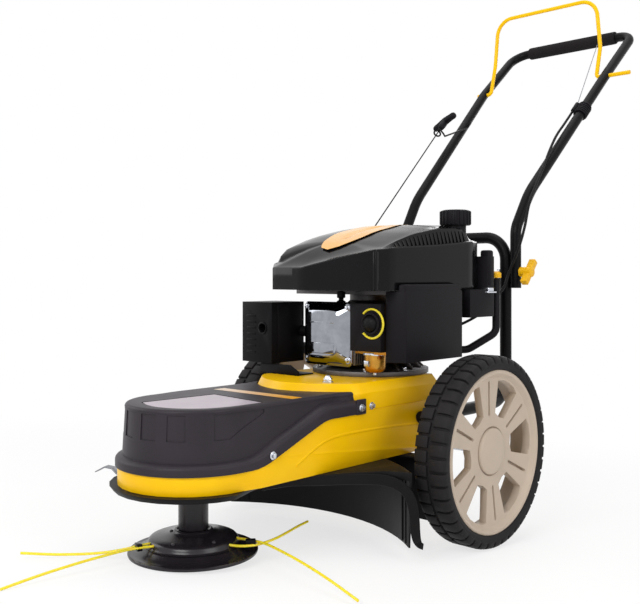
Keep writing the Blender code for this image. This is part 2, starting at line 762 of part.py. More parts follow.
def belt_outline(extra):
    """The outer common tangents of the two pulley circles, each circle followed round its far side."""
    front = groove_radius(SPINDLE_PULLEY_RADIUS) + extra
    rear = groove_radius(ENGINE_PULLEY_RADIUS) + extra
    lean = asin((front - rear) / ENGINE_Y)
    points = []
    for i in range(13):
        a = lean - i * (pi + 2 * lean) / 12
        points.append((front * cos(a), front * sin(a)))
    for i in range(11):
        a = pi + lean - i * (pi - 2 * lean) / 10
        points.append((rear * cos(a), ENGINE_Y + rear * sin(a)))
    return points


def make_belt():
    low, high = BELT_Z - BELT_WIDTH / 2, BELT_Z + BELT_WIDTH / 2
    inner = belt_outline(BELT_CLEARANCE)
    outer = belt_outline(BELT_CLEARANCE + BELT_DEPTH)
    loops = [at_height(inner, low), at_height(outer, low), at_height(outer, high),
             at_height(inner, high), at_height(inner, low)]
    add_part("drive_belt", weld(loft(loops, False, False)), BLACK_RUBBER)


def belt_side_x():
    """Outer face of the belt's left run, at the idler."""
    front = groove_radius(SPINDLE_PULLEY_RADIUS)
    rear = groove_radius(ENGINE_PULLEY_RADIUS)
    return front + (rear - front) * IDLER_Y / ENGINE_Y + BELT_CLEARANCE + BELT_DEPTH


def idler_centre():
    return (belt_side_x() + IDLER_RADIUS + IDLER_RELEASE, IDLER_Y)


def make_idler():
    held = carrier("idler_arm_axis", (*IDLER_PIVOT, BELT_Z))
    wheel = idler_centre()
    arm_low = BELT_Z + BELT_WIDTH / 2 + 0.003
    along = Vector(wheel) - Vector(IDLER_PIVOT)
    heading = atan2(along.y, along.x)
    width = 0.009
    ends = [(Vector(IDLER_PIVOT), heading + pi / 2), (Vector(wheel), heading - pi / 2)]
    outline = []
    for centre, start in ends:
        for i in range(7):
            a = start + pi * i / 6
            outline.append((centre.x + width * cos(a), centre.y + width * sin(a)))
    part = add_part("idler_arm", prism(outline, arm_low, arm_low + 0.003), GREY_STEEL, held)
    pin_low = DECK_LOW + SHEET + SEAT_GAP
    combine(part, cylinder(IDLER_PIVOT, IDLER_PIN_RADIUS, pin_low, arm_low + 0.002, SMALL), "UNION")
    stud_low = BELT_Z - BELT_WIDTH / 2
    combine(part, cylinder(wheel, IDLER_PIN_RADIUS, stud_low, arm_low + 0.002, SMALL), "UNION")

    roller = carrier("idler_pulley_axis", (*wheel, BELT_Z))
    bore = IDLER_PIN_RADIUS + RUNNING_GAP
    half = BELT_WIDTH / 2
    profile = [(bore, BELT_Z - half), (IDLER_RADIUS, BELT_Z - half), (IDLER_RADIUS, BELT_Z + half),
               (bore, BELT_Z + half)]
    shape = move(turned(profile, MEDIUM, True), (*wheel, 0))
    add_part("idler_pulley", shape, BLACK_PLASTIC, roller)


def make_spindle():
    top = DECK_LOW + SHEET + SEAT_GAP
    bore = BEARING_RADIUS + SEAT_GAP
    housing = [(bore, HOUSING_LOW), (HOUSING_RADIUS, HOUSING_LOW), (HOUSING_RADIUS, top),
               (HOUSING_FLANGE_RADIUS, top), (HOUSING_FLANGE_RADIUS, top + HOUSING_FLANGE),
               (bore, top + HOUSING_FLANGE)]
    add_part("spindle_housing", turned(housing, ROUND, True), BLACK_PAINT)
    inner = SHAFT_RADIUS + RUNNING_GAP
    high = top + HOUSING_FLANGE - BEARING_WIDTH
    for name, low in (("spindle_bearing_lower", HOUSING_LOW + 0.002), ("spindle_bearing_upper", high)):
        race = [(inner, low), (BEARING_RADIUS, low), (BEARING_RADIUS, low + BEARING_WIDTH),
                (inner, low + BEARING_WIDTH)]
        add_part(name, turned(race, MEDIUM, True), BRIGHT_STEEL)


def make_head():
    held = carrier("head_axis", (0, 0, 0))
    add_part("spindle_shaft", cylinder((0, 0), SHAFT_RADIUS, SHAFT_LOW, SHAFT_TOP), GREY_STEEL, held)
    bore = SHAFT_RADIUS + RUNNING_GAP
    add_part("spindle_pulley", turned(pulley_profile(SPINDLE_PULLEY_RADIUS, bore), ROUND, True),
             GREY_STEEL, held)

    disc_top = HEAD_HUB_LOW - SEAT_GAP
    disc = [(0, DISC_LOW + 0.002), (DISC_RADIUS * 0.75, DISC_LOW + 0.001),
            (DISC_RADIUS * 0.86, DISC_LOW), (DISC_RADIUS, DISC_LOW + 0.001),
            (DISC_RADIUS, DISC_LOW + DISC_RIM), (DISC_RADIUS - 0.006, DISC_LOW + DISC_RIM + 0.001),
            (HUB_STEP_RADIUS + 0.004, DISC_LOW + DISC_RIM), (HUB_STEP_RADIUS, disc_top), (0, disc_top)]
    add_part("glide_disc", turned(disc, 40), BLACK_GLOSS, held)

    slot_low = LINE_HEIGHT - LINE_SLOT
    plate_top = LINE_HEIGHT + LINE_SLOT + 0.004
    hub = [(bore, HEAD_HUB_LOW), (HEAD_HUB_RADIUS, HEAD_HUB_LOW), (HEAD_HUB_RADIUS, slot_low),
           (COLLAR_RADIUS - 0.006, slot_low), (COLLAR_RADIUS - 0.006, LINE_HEIGHT + LINE_SLOT),
           (HEAD_PLATE_RADIUS, LINE_HEIGHT + LINE_SLOT), (HEAD_PLATE_RADIUS, plate_top),
           (COLLAR_RADIUS, plate_top), (COLLAR_RADIUS, HOUSING_LOW - 0.0015),
           (bore, HOUSING_LOW - 0.0015)]
    add_part("head_hub", turned(hub, ROUND, True), BLACK_GLOSS, held)
    make_line("trimmer_line_left", LEFT_LINE, held)
    make_line("trimmer_line_right", RIGHT_LINE, held)


# Each line is one length of cord, folded round the hub's core; its two tips cross beside the head.
LEFT_LINE = [(-0.0135, -0.332, 0.0650), (-0.026, -0.262, 0.0690), (-0.038, -0.190, 0.0712),
             (-0.044, -0.125, 0.0715), (-0.046, -0.075, 0.0715), (-0.044, -0.035, 0.0715),
             (-0.036, 0.004, 0.0715), (-0.043, 0.022, 0.0715), (-0.050, 0.012, 0.0715),
             (-0.056, -0.030, 0.0715), (-0.068, -0.080, 0.0715), (-0.088, -0.130, 0.0712),
             (-0.114, -0.182, 0.0690), (-0.144, -0.232, 0.0660)]
RIGHT_LINE = [(0.343, 0.020, 0.0440), (0.285, 0.004, 0.0540), (0.222, -0.004, 0.0630),
              (0.160, -0.003, 0.0695), (0.105, 0.003, 0.0715), (0.068, 0.004, 0.0715),
              (0.040, -0.006, 0.0715), (0.034, 0.006, 0.0715), (0.038, 0.020, 0.0715),
              (0.048, 0.044, 0.0715), (0.060, 0.078, 0.0715), (0.069, 0.118, 0.0705),
              (0.070, 0.160, 0.0680), (0.064, 0.206, 0.0650)]


def make_line(name, points, held):
    add_part(name, swept(points, LINE_RADIUS, 8), YELLOW_NYLON, held)


# Engine

def make_engine_block():
    base = PLATFORM_TOP + SEAT_GAP
    bore = CRANK_RADIUS + RUNNING_GAP
    top = base + FLANGE_THICKNESS
    case = [(bore, base), (FLANGE_RADIUS, base), (FLANGE_RADIUS, top), (CASE_RADIUS, top + 0.010),
            (CASE_RADIUS, CASE_TOP - 0.04), (CASE_RADIUS * 0.6, CASE_TOP - 0.015),
            (CASE_RADIUS * 0.6, CASE_TOP), (bore, CASE_TOP)]
    part = add_part("crankcase", move(turned(case, ROUND, True), (0, ENGINE_Y, 0)), CAST_ALUMINIUM)
    low = (-CYLINDER_HALF_WIDTH + 0.004, CYLINDER_REAR + SEAT_GAP, CYLINDER_LOW + 0.006)
    high = (CYLINDER_HALF_WIDTH - 0.004, ENGINE_Y - CRANK_RADIUS * 2, CYLINDER_HIGH - 0.006)
    combine(part, box(low, high), "UNION")
    plate_low = (-SHROUD_HALF_WIDTH, CYLINDER_REAR + 0.014, CASE_TOP - 0.003)
    plate_high = (FILTER_INNER_X - 0.004, TANK_BOX[0][1] - 0.006, SHROUD_LOW - SEAT_GAP)
    combine(part, box(plate_low, plate_high), "UNION")
    combine(part, cylinder((0, ENGINE_Y), CRANK_RADIUS + 0.003, CASE_TOP - 0.02, CASE_TOP + 0.02))
    start = Vector(FILL_TUBE_START)
    along = (Vector(FILL_TUBE_BEND) - start).normalized()
    boss = [start - along * FILL_BOSS_LENGTH, start - along * SEAT_GAP]
    combine(part, swept(boss, DIPSTICK_TUBE_RADIUS + 0.002, SMALL), "UNION")
    cable_x, cable_y, cable_z = CABLE_ROUTE[-1]
    bracket_low = (cable_x - 0.020, cable_y - 0.035, cable_z - CABLE_BRACKET / 2)
    bracket_high = (cable_x + 0.010, cable_y - 3 * SEAT_GAP, cable_z + CABLE_BRACKET / 2)
    combine(part, box(bracket_low, bracket_high), "UNION")

    fins = 6
    pitch = (CYLINDER_REAR - CYLINDER_FRONT) / (2 * fins - 1)
    right = []
    for i in range(2 * fins - 1):
        x = CYLINDER_HALF_WIDTH if i % 2 == 0 else CYLINDER_HALF_WIDTH - FIN_DEPTH
        y = CYLINDER_FRONT + i * pitch
        right += [(x, y), (x, y + pitch)]
    left = [(-x, y) for x, y in reversed(right)]
    add_part("cylinder", prism(right + left, CYLINDER_LOW, CYLINDER_HIGH), CAST_ALUMINIUM)


def chamfered(half, low, high, corner):
    return [(half, low + corner), (half, high - corner), (half - corner, high), (corner - half, high),
            (-half, high - corner), (-half, low + corner), (corner - half, low), (half - corner, low)]


def make_valve_cover():
    back = CYLINDER_FRONT - SEAT_GAP
    half, low, high = VALVE_COVER_HALF_WIDTH, VALVE_COVER_LOW, VALVE_COVER_HIGH
    layers = [(back, 0.0), (back - 0.005, 0.0), (back - 0.006, 0.008), (VALVE_COVER_FRONT + 0.004, 0.010),
              (VALVE_COVER_FRONT, 0.016)]
    loops = []
    for y, inset in layers:
        outline = chamfered(half - inset, low + inset, high - inset, 0.012 + inset * 0.5)
        loops.append([(VALVE_COVER_X + x, y, z) for x, z in outline])
    add_part("valve_cover", loft(loops), CHROME_PLATE)


def make_muffler():
    low, high = MUFFLER_BOX
    part = add_part("muffler", bevelled(box(low, high), 0.010, 2), BLACK_PAINT)
    z = (low[2] + high[2]) / 2
    y = (CYLINDER_FRONT + CYLINDER_REAR) / 2 - 0.002
    pipe = cylinder_along_x((y, z), 0.011, high[0] - 0.02, -CYLINDER_HALF_WIDTH - SEAT_GAP)
    combine(part, pipe, "UNION")


def make_spark_plug():
    y = (CYLINDER_FRONT + CYLINDER_REAR) / 2
    low = CYLINDER_HIGH + SEAT_GAP
    profile = [(0, low), (0.009, low), (0.009, low + 0.006), (0.005, low + 0.008), (0.005, low + 0.012),
               (0.0085, low + 0.013), (0.0085, low + 0.025), (0, low + 0.0265)]
    add_part("spark_plug", move(turned(profile, SMALL), (0, y, 0)), BLACK_RUBBER)


def make_carburettor():
    low = (CYLINDER_HALF_WIDTH + SEAT_GAP, PRIMER_BOX[1][1] + SEAT_GAP, CARBURETTOR_LOW)
    high = (FILTER_INNER_X - SEAT_GAP, BOWL_CENTRE[1] + CARBURETTOR_BEHIND_BOWL, CARBURETTOR_HIGH)
    part = add_part("carburettor", box(low, high), BRASS_PLATE)
    top, rim = BOWL_LOW + BOWL_HEIGHT, BOWL_RADIUS + BOWL_RIM
    bowl = [(0, BOWL_LOW), (BOWL_RADIUS * 0.7, BOWL_LOW + 0.001), (BOWL_RADIUS, BOWL_LOW + 0.007),
            (BOWL_RADIUS, top - 0.008), (rim, top - 0.008), (rim, top), (0, top)]
    combine(part, move(turned(bowl, MEDIUM), (*BOWL_CENTRE, 0)), "UNION")
    plate_low = (FILTER_INNER_X - SEAT_GAP - FILTER_PLATE, PRIMER_BOX[1][1] + SEAT_GAP, FILTER_LOW)
    plate_high = (FILTER_INNER_X - SEAT_GAP, FILTER_REAR, FILTER_HIGH)
    combine(part, box(plate_low, plate_high), "UNION")


def make_primer():
    part = add_part("primer_housing", bevelled(box(*PRIMER_BOX), 0.003, 1), BLACK_PLASTIC)
    x, z = PRIMER_CENTRE
    front, back = PRIMER_BOX[0][1], PRIMER_BOX[1][1]

    def along_y(radius, low, high):
        return loft([[(u, y, v) for u, v in circle(radius, MEDIUM, (x, z))] for y in (low, high)])

    combine(part, along_y(PRIMER_RADIUS + RUNNING_GAP, front - CUT_OVERRUN, back + CUT_OVERRUN))
    held = carrier("primer_bulb_axis", (x, back, z))
    layers = [(back - SEAT_GAP - PRIMER_TRAVEL, 1.0), (front - 0.002, 1.0), (front - 0.008, 0.75),
              (front - 0.010, 0.35)]
    loops = [[(u, y, v) for u, v in circle(PRIMER_RADIUS * share, MEDIUM, (x, z))]
             for y, share in layers]
    add_part("primer_bulb", loft(loops), BLACK_RUBBER, held)


def filter_outline(inset=0.0):
    return [(FILTER_INNER_X, FILTER_FRONT + inset), (FILTER_OUTER_X - 0.023, FILTER_FRONT + inset),
            (FILTER_OUTER_X - inset, FILTER_FRONT + 0.013), (FILTER_OUTER_X - inset, FILTER_REAR - inset),
            (FILTER_INNER_X, FILTER_REAR - inset)]


def make_air_filter():
    wall = 0.0025
    part = add_part("air_filter_cover", prism(filter_outline(), FILTER_LOW, FILTER_HIGH), BLACK_PLASTIC)
    hollow = [(x - (CUT_OVERRUN if x < FILTER_INNER_X + 0.001 else 0.0), y)
              for x, y in filter_outline(wall)]
    combine(part, prism(hollow, FILTER_LOW + wall, FILTER_HIGH - wall))
    gap = wall + SEAT_GAP
    low = (FILTER_INNER_X, FILTER_FRONT + 0.03, FILTER_LOW + gap)
    high = (FILTER_OUTER_X - gap, FILTER_REAR - gap, FILTER_HIGH - gap)
    add_part("air_filter_element", box(low, high), FOAM)


def shroud_height(y):
    """The shroud's crown line: a steep front, a long rise and a slight fall to the rear."""
    for (y0, z0), (y1, z1) in zip(SHROUD_CROWN, SHROUD_CROWN[1:]):
        if y <= y1:
            return z0 + (z1 - z0) * (y - y0) / (y1 - y0)
    return SHROUD_CROWN[-1][1]


def shroud_section(y, squeeze, skin):
    half = SHROUD_HALF_WIDTH * squeeze - skin
    crown = shroud_height(y) - skin
    shoulder = crown - SHROUD_SHOULDER_DROP
    right = [(half, SHROUD_LOW), (half, shoulder),
             (half - SHROUD_SHOULDER_IN, shoulder + SHROUD_SHOULDER_RISE),
             (half * 0.62, crown - SHROUD_CROWN_DROP), (half * 0.30, crown)]
    left = [(-x, z) for x, z in reversed(right)]
    return [(x, y, z) for x, z in right + left]


def make_shroud():
    stations = [(SHROUD_FRONT, 0.78), (SHROUD_FRONT + 0.012, 0.88), (SHROUD_FRONT + 0.045, 0.97),
                (0.420, 1.0), (0.500, 1.0), (0.575, 1.0), (0.620, 0.975), (SHROUD_REAR, 0.90)]
    outer = loft([shroud_section(y, squeeze, 0.0) for y, squeeze in stations])
    part = add_part("blower_shroud", outer, BLACK_GLOSS)
    inner_stations = [(y, squeeze) for y, squeeze in stations]
    inner_stations[0] = (SHROUD_FRONT + SHROUD_WALL, inner_stations[0][1])
    inner_stations[-1] = (SHROUD_REAR - SHROUD_WALL, inner_stations[-1][1])
    sections = [shroud_section(y, squeeze, SHROUD_WALL) for y, squeeze in inner_stations]
    lowered = [[(x, y, z if z > SHROUD_LOW + 0.001 else SHROUD_LOW - CUT_OVERRUN)
                for x, y, z in section] for section in sections]
    combine(part, loft(lowered))
    over_crown = shroud_height(FILLER[1]) + CUT_OVERRUN
    combine(part, cylinder(FILLER, NECK_RADIUS + RUNNING_GAP, SHROUD_LOW, over_crown))
    boss_low = DRUM_LOW + DRUM_HEIGHT + SEAT_GAP
    boss_top = shroud_height(ENGINE_Y) - SHROUD_WALL / 2
    combine(part, cylinder((0, ENGINE_Y), STARTER_BOSS_RADIUS, boss_low, boss_top), "UNION")
    start, end = Vector(ROPE_START), Vector(ROPE_END)
    along = (end - start).normalized()
    outlet = [start - along * ROPE_OUTLET_LENGTH, start - along * SEAT_GAP]
    combine(part, swept(outlet, ROPE_OUTLET_RADIUS, SMALL), "UNION")


def make_fuel_tank():
    low, high = TANK_BOX
    part = add_part("fuel_tank", box(low, high), BLACK_PLASTIC)
    upstand = box((low[0], TANK_REAR_FRONT, high[2] - 0.01), (high[0], high[1], TANK_REAR_TOP))
    combine(part, upstand, "UNION")
    combine(part, cylinder(FILLER, NECK_RADIUS, high[2] - 0.01, NECK_TOP), "UNION")
    wall = TANK_WALL
    inside = box((low[0] + wall, low[1] + wall, low[2] + wall), (high[0] - wall, high[1] - wall,
                                                                high[2] - wall))
    combine(part, inside)
    combine(part, cylinder(FILLER, NECK_RADIUS - wall, high[2] - 0.02, NECK_TOP + CUT_OVERRUN))
    held = carrier("fuel_cap_axis", (*FILLER, CAP_LOW))
    grips = 10
    outline = []
    for i in range(grips * 4):
        a = 2 * pi * i / (grips * 4)
        radius = CAP_RADIUS if i % 4 < 2 else CAP_RADIUS - 0.002
        outline.append((FILLER[0] + radius * cos(a), FILLER[1] + radius * sin(a)))
    top = offset(outline, -0.003)
    loops = [at_height(outline, CAP_LOW + 0.005), at_height(outline, CAP_TOP - 0.003),
             at_height(top, CAP_TOP)]
    cap = add_part("fuel_cap", loft(loops), BLACK_PLASTIC, held)
    combine(cap, cylinder(FILLER, NECK_RADIUS + RUNNING_GAP, CAP_LOW - 0.005, NECK_TOP + SEAT_GAP))


def make_dipstick():
    x, y = DIPSTICK
    r, wall, top = DIPSTICK_TUBE_RADIUS, DIPSTICK_TUBE_WALL, DIPSTICK_TUBE_TOP
    path = rounded_path([FILL_TUBE_START, FILL_TUBE_BEND, (x, y, FILL_TUBE_RISE), (x, y, top)],
                        [0.03, 0.02], 3)
    add_part("oil_fill_tube", weld(swept(path, r, 10, r - wall)), BLACK_PLASTIC)
    held = carrier("dipstick_axis", (x, y, top))
    rod = 0.0025
    profile = [(0, top - 0.075), (rod, top - 0.075), (rod, top + SEAT_GAP), (0.011, top + SEAT_GAP),
               (0.011, top + 0.010), (0.006, top + 0.014), (0, top + 0.014)]
    add_part("oil_dipstick", move(turned(profile, SMALL), (x, y, 0)), YELLOW_PLASTIC, held)


def make_crank():
    held = carrier("crank_axis", (0, ENGINE_Y, 0))
    low = BELT_Z - PULLEY_WIDTH / 2 - 0.002
    drum_seat = DRUM_LOW - 0.002
    add_part("crankshaft", cylinder((0, ENGINE_Y), CRANK_RADIUS, low, drum_seat), GREY_STEEL, held)
    bore = CRANK_RADIUS + RUNNING_GAP
    pulley = turned(pulley_profile(ENGINE_PULLEY_RADIUS, bore), ROUND, True)
    add_part("engine_pulley", move(pulley, (0, ENGINE_Y, 0)), GREY_STEEL, held)
    high = FLYWHEEL_LOW + FLYWHEEL_HEIGHT
    wheel = [(bore, FLYWHEEL_LOW), (FLYWHEEL_RADIUS, FLYWHEEL_LOW), (FLYWHEEL_RADIUS, high),
             (FLYWHEEL_RADIUS - 0.015, high), (FLYWHEEL_RADIUS - 0.018, high - 0.010),
             (0.03, high - 0.010), (0.028, high), (bore, high)]
    add_part("flywheel", move(turned(wheel, ROUND, True), (0, ENGINE_Y, 0)), CAST_ALUMINIUM, held)


def make_starter():
    held = carrier("starter_drum_axis", (0, ENGINE_Y, DRUM_LOW))
    top = DRUM_LOW + DRUM_HEIGHT
    drum = [(0, DRUM_LOW), (DRUM_RADIUS + 0.008, DRUM_LOW), (DRUM_RADIUS + 0.008, DRUM_LOW + 0.002),
            (DRUM_RADIUS, DRUM_LOW + 0.003), (DRUM_RADIUS, top - 0.003),
            (DRUM_RADIUS + 0.008, top - 0.002), (DRUM_RADIUS + 0.008, top), (0, top)]
    add_part("starter_drum", move(turned(drum, ROUND), (0, ENGINE_Y, 0)), BLACK_PLASTIC, held)

    start, end = Vector(ROPE_START), Vector(ROPE_END)
    along = (end - start).normalized()
    rope_end = end - along * SEAT_GAP
    points = [start.lerp(rope_end, i / 40) for i in range(41)]
    add_cord("starter_rope", points, ROPE_RADIUS, BLACK_RUBBER)

    grip_axis = carrier("starter_grip_axis", end)
    neck_end = end + along * GRIP_NECK_LENGTH
    neck = add_part("starter_grip", swept([end, end + along * 0.004, neck_end],
                                          GRIP_NECK_RADIUS, SMALL), BLACK_PLASTIC, grip_axis)
    level = (Vector((1, 0, 0)) - along * along.x).normalized()
    lifted = level.cross(along)
    reach = (level * cos(GRIP_BAR_TURN) + lifted * sin(GRIP_BAR_TURN)) * GRIP_BAR_HALF
    combine(neck, swept([neck_end - reach, neck_end, neck_end + reach], GRIP_BAR_RADIUS, SMALL), "UNION")


# Handle

def upper_points():
    """Centre line of the upper handle's left leg and half of its crossbar, from its foot up."""
    foot_x = LOWER_LEG_X + LOWER_TUBE_RADIUS + UPPER_TUBE_RADIUS + SEAT_GAP

    def spread(z):
        share = (z - UPPER_BEND[1]) / (BAIL_PIVOT[1] - UPPER_BEND[1])
        return foot_x + (UPPER_TOP_X - foot_x) * min(share, 1.0)

    return [(foot_x, HANDLE_Y, UPPER_FOOT_Z), (foot_x, HANDLE_Y, UPPER_BEND[1] - 0.03),
            (spread(UPPER_KNEE[1]), *UPPER_KNEE), (UPPER_TOP_X, *BAIL_PIVOT),
            (UPPER_TOP_X, *CROSSBAR)]


def make_lower_frame():
    half = [(LOWER_FOOT_X, LOWER_FOOT_Y, LOWER_FOOT_Z), (LOWER_FOOT_X, 0.620, LOWER_FOOT_Z),
            (LOWER_LEG_X, HANDLE_Y, LOWER_FOOT_Z), (LOWER_LEG_X, HANDLE_Y, LOWER_TOP)]
    points = half + mirrored(half)
    path = rounded_path(points, [0.06, 0.06, LOWER_BEND, LOWER_BEND, 0.06, 0.06], 5)
    shape = weld(swept(path, LOWER_TUBE_RADIUS, 14, LOWER_TUBE_RADIUS - TUBE_WALL))
    part = add_part("lower_handle_frame", shape, BLACK_PAINT)
    combine(part, bolt_hole())


def bolt_hole():
    reach = LOWER_LEG_X + 3 * LOWER_TUBE_RADIUS + CUT_OVERRUN
    return cylinder_along_x((HANDLE_Y, BOLT_Z), BOLT_HOLE_RADIUS, -reach, reach)


def make_upper_handle():
    held = carrier("upper_handle_axis", (0, HANDLE_Y, BOLT_Z))
    half = upper_points()
    path = rounded_path(half + mirrored(half),
                        [0.05, 0.2, 0.3, CROSSBAR_BEND, CROSSBAR_BEND, 0.3, 0.2, 0.05], 4)
    shape = weld(swept(path, UPPER_TUBE_RADIUS, 14, UPPER_TUBE_RADIUS - TUBE_WALL))
    part = add_part("upper_handle", shape, BLACK_PAINT, held)
    combine(part, bolt_hole())
    wire = cylinder_along_x(BAIL_PIVOT, BAIL_RADIUS + RUNNING_GAP, -UPPER_TOP_X - CUT_OVERRUN,
                            UPPER_TOP_X + CUT_OVERRUN)
    combine(part, wire)

    inner = UPPER_TUBE_RADIUS + SEAT_GAP
    grip = [(inner, -GRIP_HALF_LENGTH), (GRIP_RADIUS - 0.001, -GRIP_HALF_LENGTH),
            (GRIP_RADIUS, -GRIP_HALF_LENGTH + 0.002), (GRIP_RADIUS, GRIP_HALF_LENGTH - 0.002),
            (GRIP_RADIUS - 0.001, GRIP_HALF_LENGTH), (inner, GRIP_HALF_LENGTH)]
    add_part("foam_grip", move(turn_to_x(turned(grip, MEDIUM, True)), (0, *CROSSBAR)), FOAM, held)
    make_cable_clamp(held)
    make_rope_guide(held)


def tube_x(z):
    """The left upper tube's centre at a height."""
    for (x0, _, z0), (x1, _, z1) in zip(upper_points(), upper_points()[1:]):
        if z0 <= z <= z1:
            return x0 + (x1 - x0) * (z - z0) / (z1 - z0)
    return UPPER_TOP_X


def tube_y(z):
    """The upper tubes' distance back at a height."""
    for (_, y0, z0), (_, y1, z1) in zip(upper_points(), upper_points()[1:]):
        if z0 <= z <= z1:
            return y0 + (y1 - y0) * (z - z0) / (z1 - z0)
    return CROSSBAR[0]


def make_cable_clamp(held):
    y, z = CLAMP_AT
    low_z, high_z = z - CLAMP_LENGTH * 0.36, z + CLAMP_LENGTH * 0.36
    low = Vector((tube_x(low_z), tube_y(low_z), low_z))
    high = Vector((tube_x(high_z), tube_y(high_z), high_z))
    inner = UPPER_TUBE_RADIUS + SEAT_GAP
    ring = weld(swept([low, high], CLAMP_RADIUS, MEDIUM, inner))
    part = add_part("cable_clamp", ring, BLACK_PLASTIC, held)
    along = (high - low).normalized()
    start = Vector(CABLE_ROUTE[0]) + along * SEAT_GAP
    ferrule = [start, start + along * CLAMP_FERRULE_LENGTH]
    combine(part, swept(ferrule, CLAMP_FERRULE_RADIUS, SMALL), "UNION")
    wire_start = Vector(CABLE_ROUTE[0]) + along * (CLAMP_FERRULE_LENGTH + 2 * SEAT_GAP)
    wire_end = Vector(BAIL_WIRE_END)
    points = [wire_start.lerp(wire_end, i / 30) for i in range(31)]
    add_cord("bail_wire", points, BAIL_WIRE_RADIUS, GREY_STEEL)


def make_rope_guide(held):
    """A wire from the right tube, closed to an eye round the starter rope."""
    start, end = Vector(ROPE_START), Vector(ROPE_END)
    along = (end - start).normalized()
    eye = end - along * GUIDE_ALONG_ROPE
    across = Vector((1, 0, 0))
    upward = along.cross(across).normalized()
    across = upward.cross(along).normalized()
    foot_z = GUIDE_FOOT_HEIGHT
    tube = Vector((-tube_x(foot_z), tube_y(foot_z), foot_z))
    foot = tube + Vector((UPPER_TUBE_RADIUS + GUIDE_WIRE_RADIUS + SEAT_GAP, 0, 0))
    foot_end = foot + Vector((0, 0.015, 0.014))
    ring = [eye + (across * cos(a) + upward * sin(a)) * GUIDE_EYE_RADIUS
            for a in (radians(-55 + 290 * i / 12) for i in range(13))]
    outside = [eye + (across * u + upward * v) * GUIDE_EYE_RADIUS
               for u, v in ((2.0, 1.4), (1.95, 0.4), (1.6, -0.7), (1.05, -1.25))]
    path = [foot_end, foot] + outside + ring
    add_part("rope_guide", swept(path, GUIDE_WIRE_RADIUS, 8), BRIGHT_STEEL, held)


def make_bolts_and_knobs():
    tube_outer = LOWER_LEG_X + LOWER_TUBE_RADIUS + 2 * UPPER_TUBE_RADIUS + 2 * SEAT_GAP
    tube_inner = LOWER_LEG_X - LOWER_TUBE_RADIUS - SEAT_GAP
    bolt_end = tube_outer + KNOB_LENGTH * 0.6
    bolt = [(0, tube_inner - NUT_HEIGHT), (NUT_RADIUS, tube_inner - NUT_HEIGHT), (NUT_RADIUS, tube_inner),
            (BOLT_RADIUS, tube_inner), (BOLT_RADIUS, bolt_end), (0, bolt_end)]
    bore = BOLT_RADIUS + RUNNING_GAP
    for name, side in (("left", 1), ("right", -1)):
        shape = move(turn_to_x(turned(bolt, SMALL), side), (0, HANDLE_Y, BOLT_Z))
        add_part("handle_bolt_" + name, shape, BRIGHT_STEEL)
        held = carrier("knob_axis_" + name, (side * tube_outer, HANDLE_Y, BOLT_Z))
        knob = cylinder((0, 0), KNOB_RADIUS, tube_outer, tube_outer + KNOB_LENGTH, MEDIUM)
        place = (0, HANDLE_Y, BOLT_Z)
        part = add_part("handle_knob_" + name, move(turn_to_x(knob, side), place), YELLOW_PLASTIC, held)
        wing_low = tube_outer + KNOB_LENGTH * 0.45
        wing = box((-KNOB_WING_WIDTH / 2, -KNOB_WING, wing_low),
                   (KNOB_WING_WIDTH / 2, KNOB_WING, tube_outer + KNOB_LENGTH * 0.96))
        bmesh.ops.transform(wing, matrix=Matrix.Rotation(radians(50), 4, "Z"), verts=wing.verts)
        combine(part, move(turn_to_x(wing, side), place), "UNION")
        hole = cylinder((0, 0), bore, tube_outer - 0.005, bolt_end + SEAT_GAP, SMALL)
        combine(part, move(turn_to_x(hole, side), place))


def make_bail():
    held = carrier("bail_axis", (0, *BAIL_PIVOT))
    points = [(BAIL_LONG_END, *BAIL_PIVOT), (BAIL_LEG_X, *BAIL_PIVOT), (BAIL_LEG_X, *BAIL_KNEE),
              (BAIL_TOP_X, *BAIL_TOP), (-BAIL_TOP_X, *BAIL_TOP), (-BAIL_LEG_X, *BAIL_KNEE),
              (-BAIL_LEG_X, *BAIL_PIVOT), (-BAIL_SHORT_END, *BAIL_PIVOT)]
    path = rounded_path(points, [BAIL_EAR_BEND, 0.04, BAIL_CORNER, BAIL_CORNER, 0.04, BAIL_EAR_BEND], 4)
    add_part("bail", swept(path, BAIL_RADIUS, 10), YELLOW_PAINT, held)


def smooth_route(points, per_span=3):
    """Points on a smooth curve through the given ones."""
    nodes = [Vector(p) for p in points]
    nodes = [2 * nodes[0] - nodes[1]] + nodes + [2 * nodes[-1] - nodes[-2]]
    route = []
    for a, b, c, d in zip(nodes, nodes[1:], nodes[2:], nodes[3:]):
        for i in range(per_span):
            t = i / per_span
            route.append(0.5 * (2 * b + (c - a) * t + (2 * a - 5 * b + 4 * c - d) * t * t
                                + (3 * b - 3 * c + d - a) * t * t * t))
    return route + [nodes[-2]]


def make_control_cable():
    add_cord("control_cable", smooth_route(CABLE_ROUTE, 4), CABLE_RADIUS, BLACK_RUBBER)


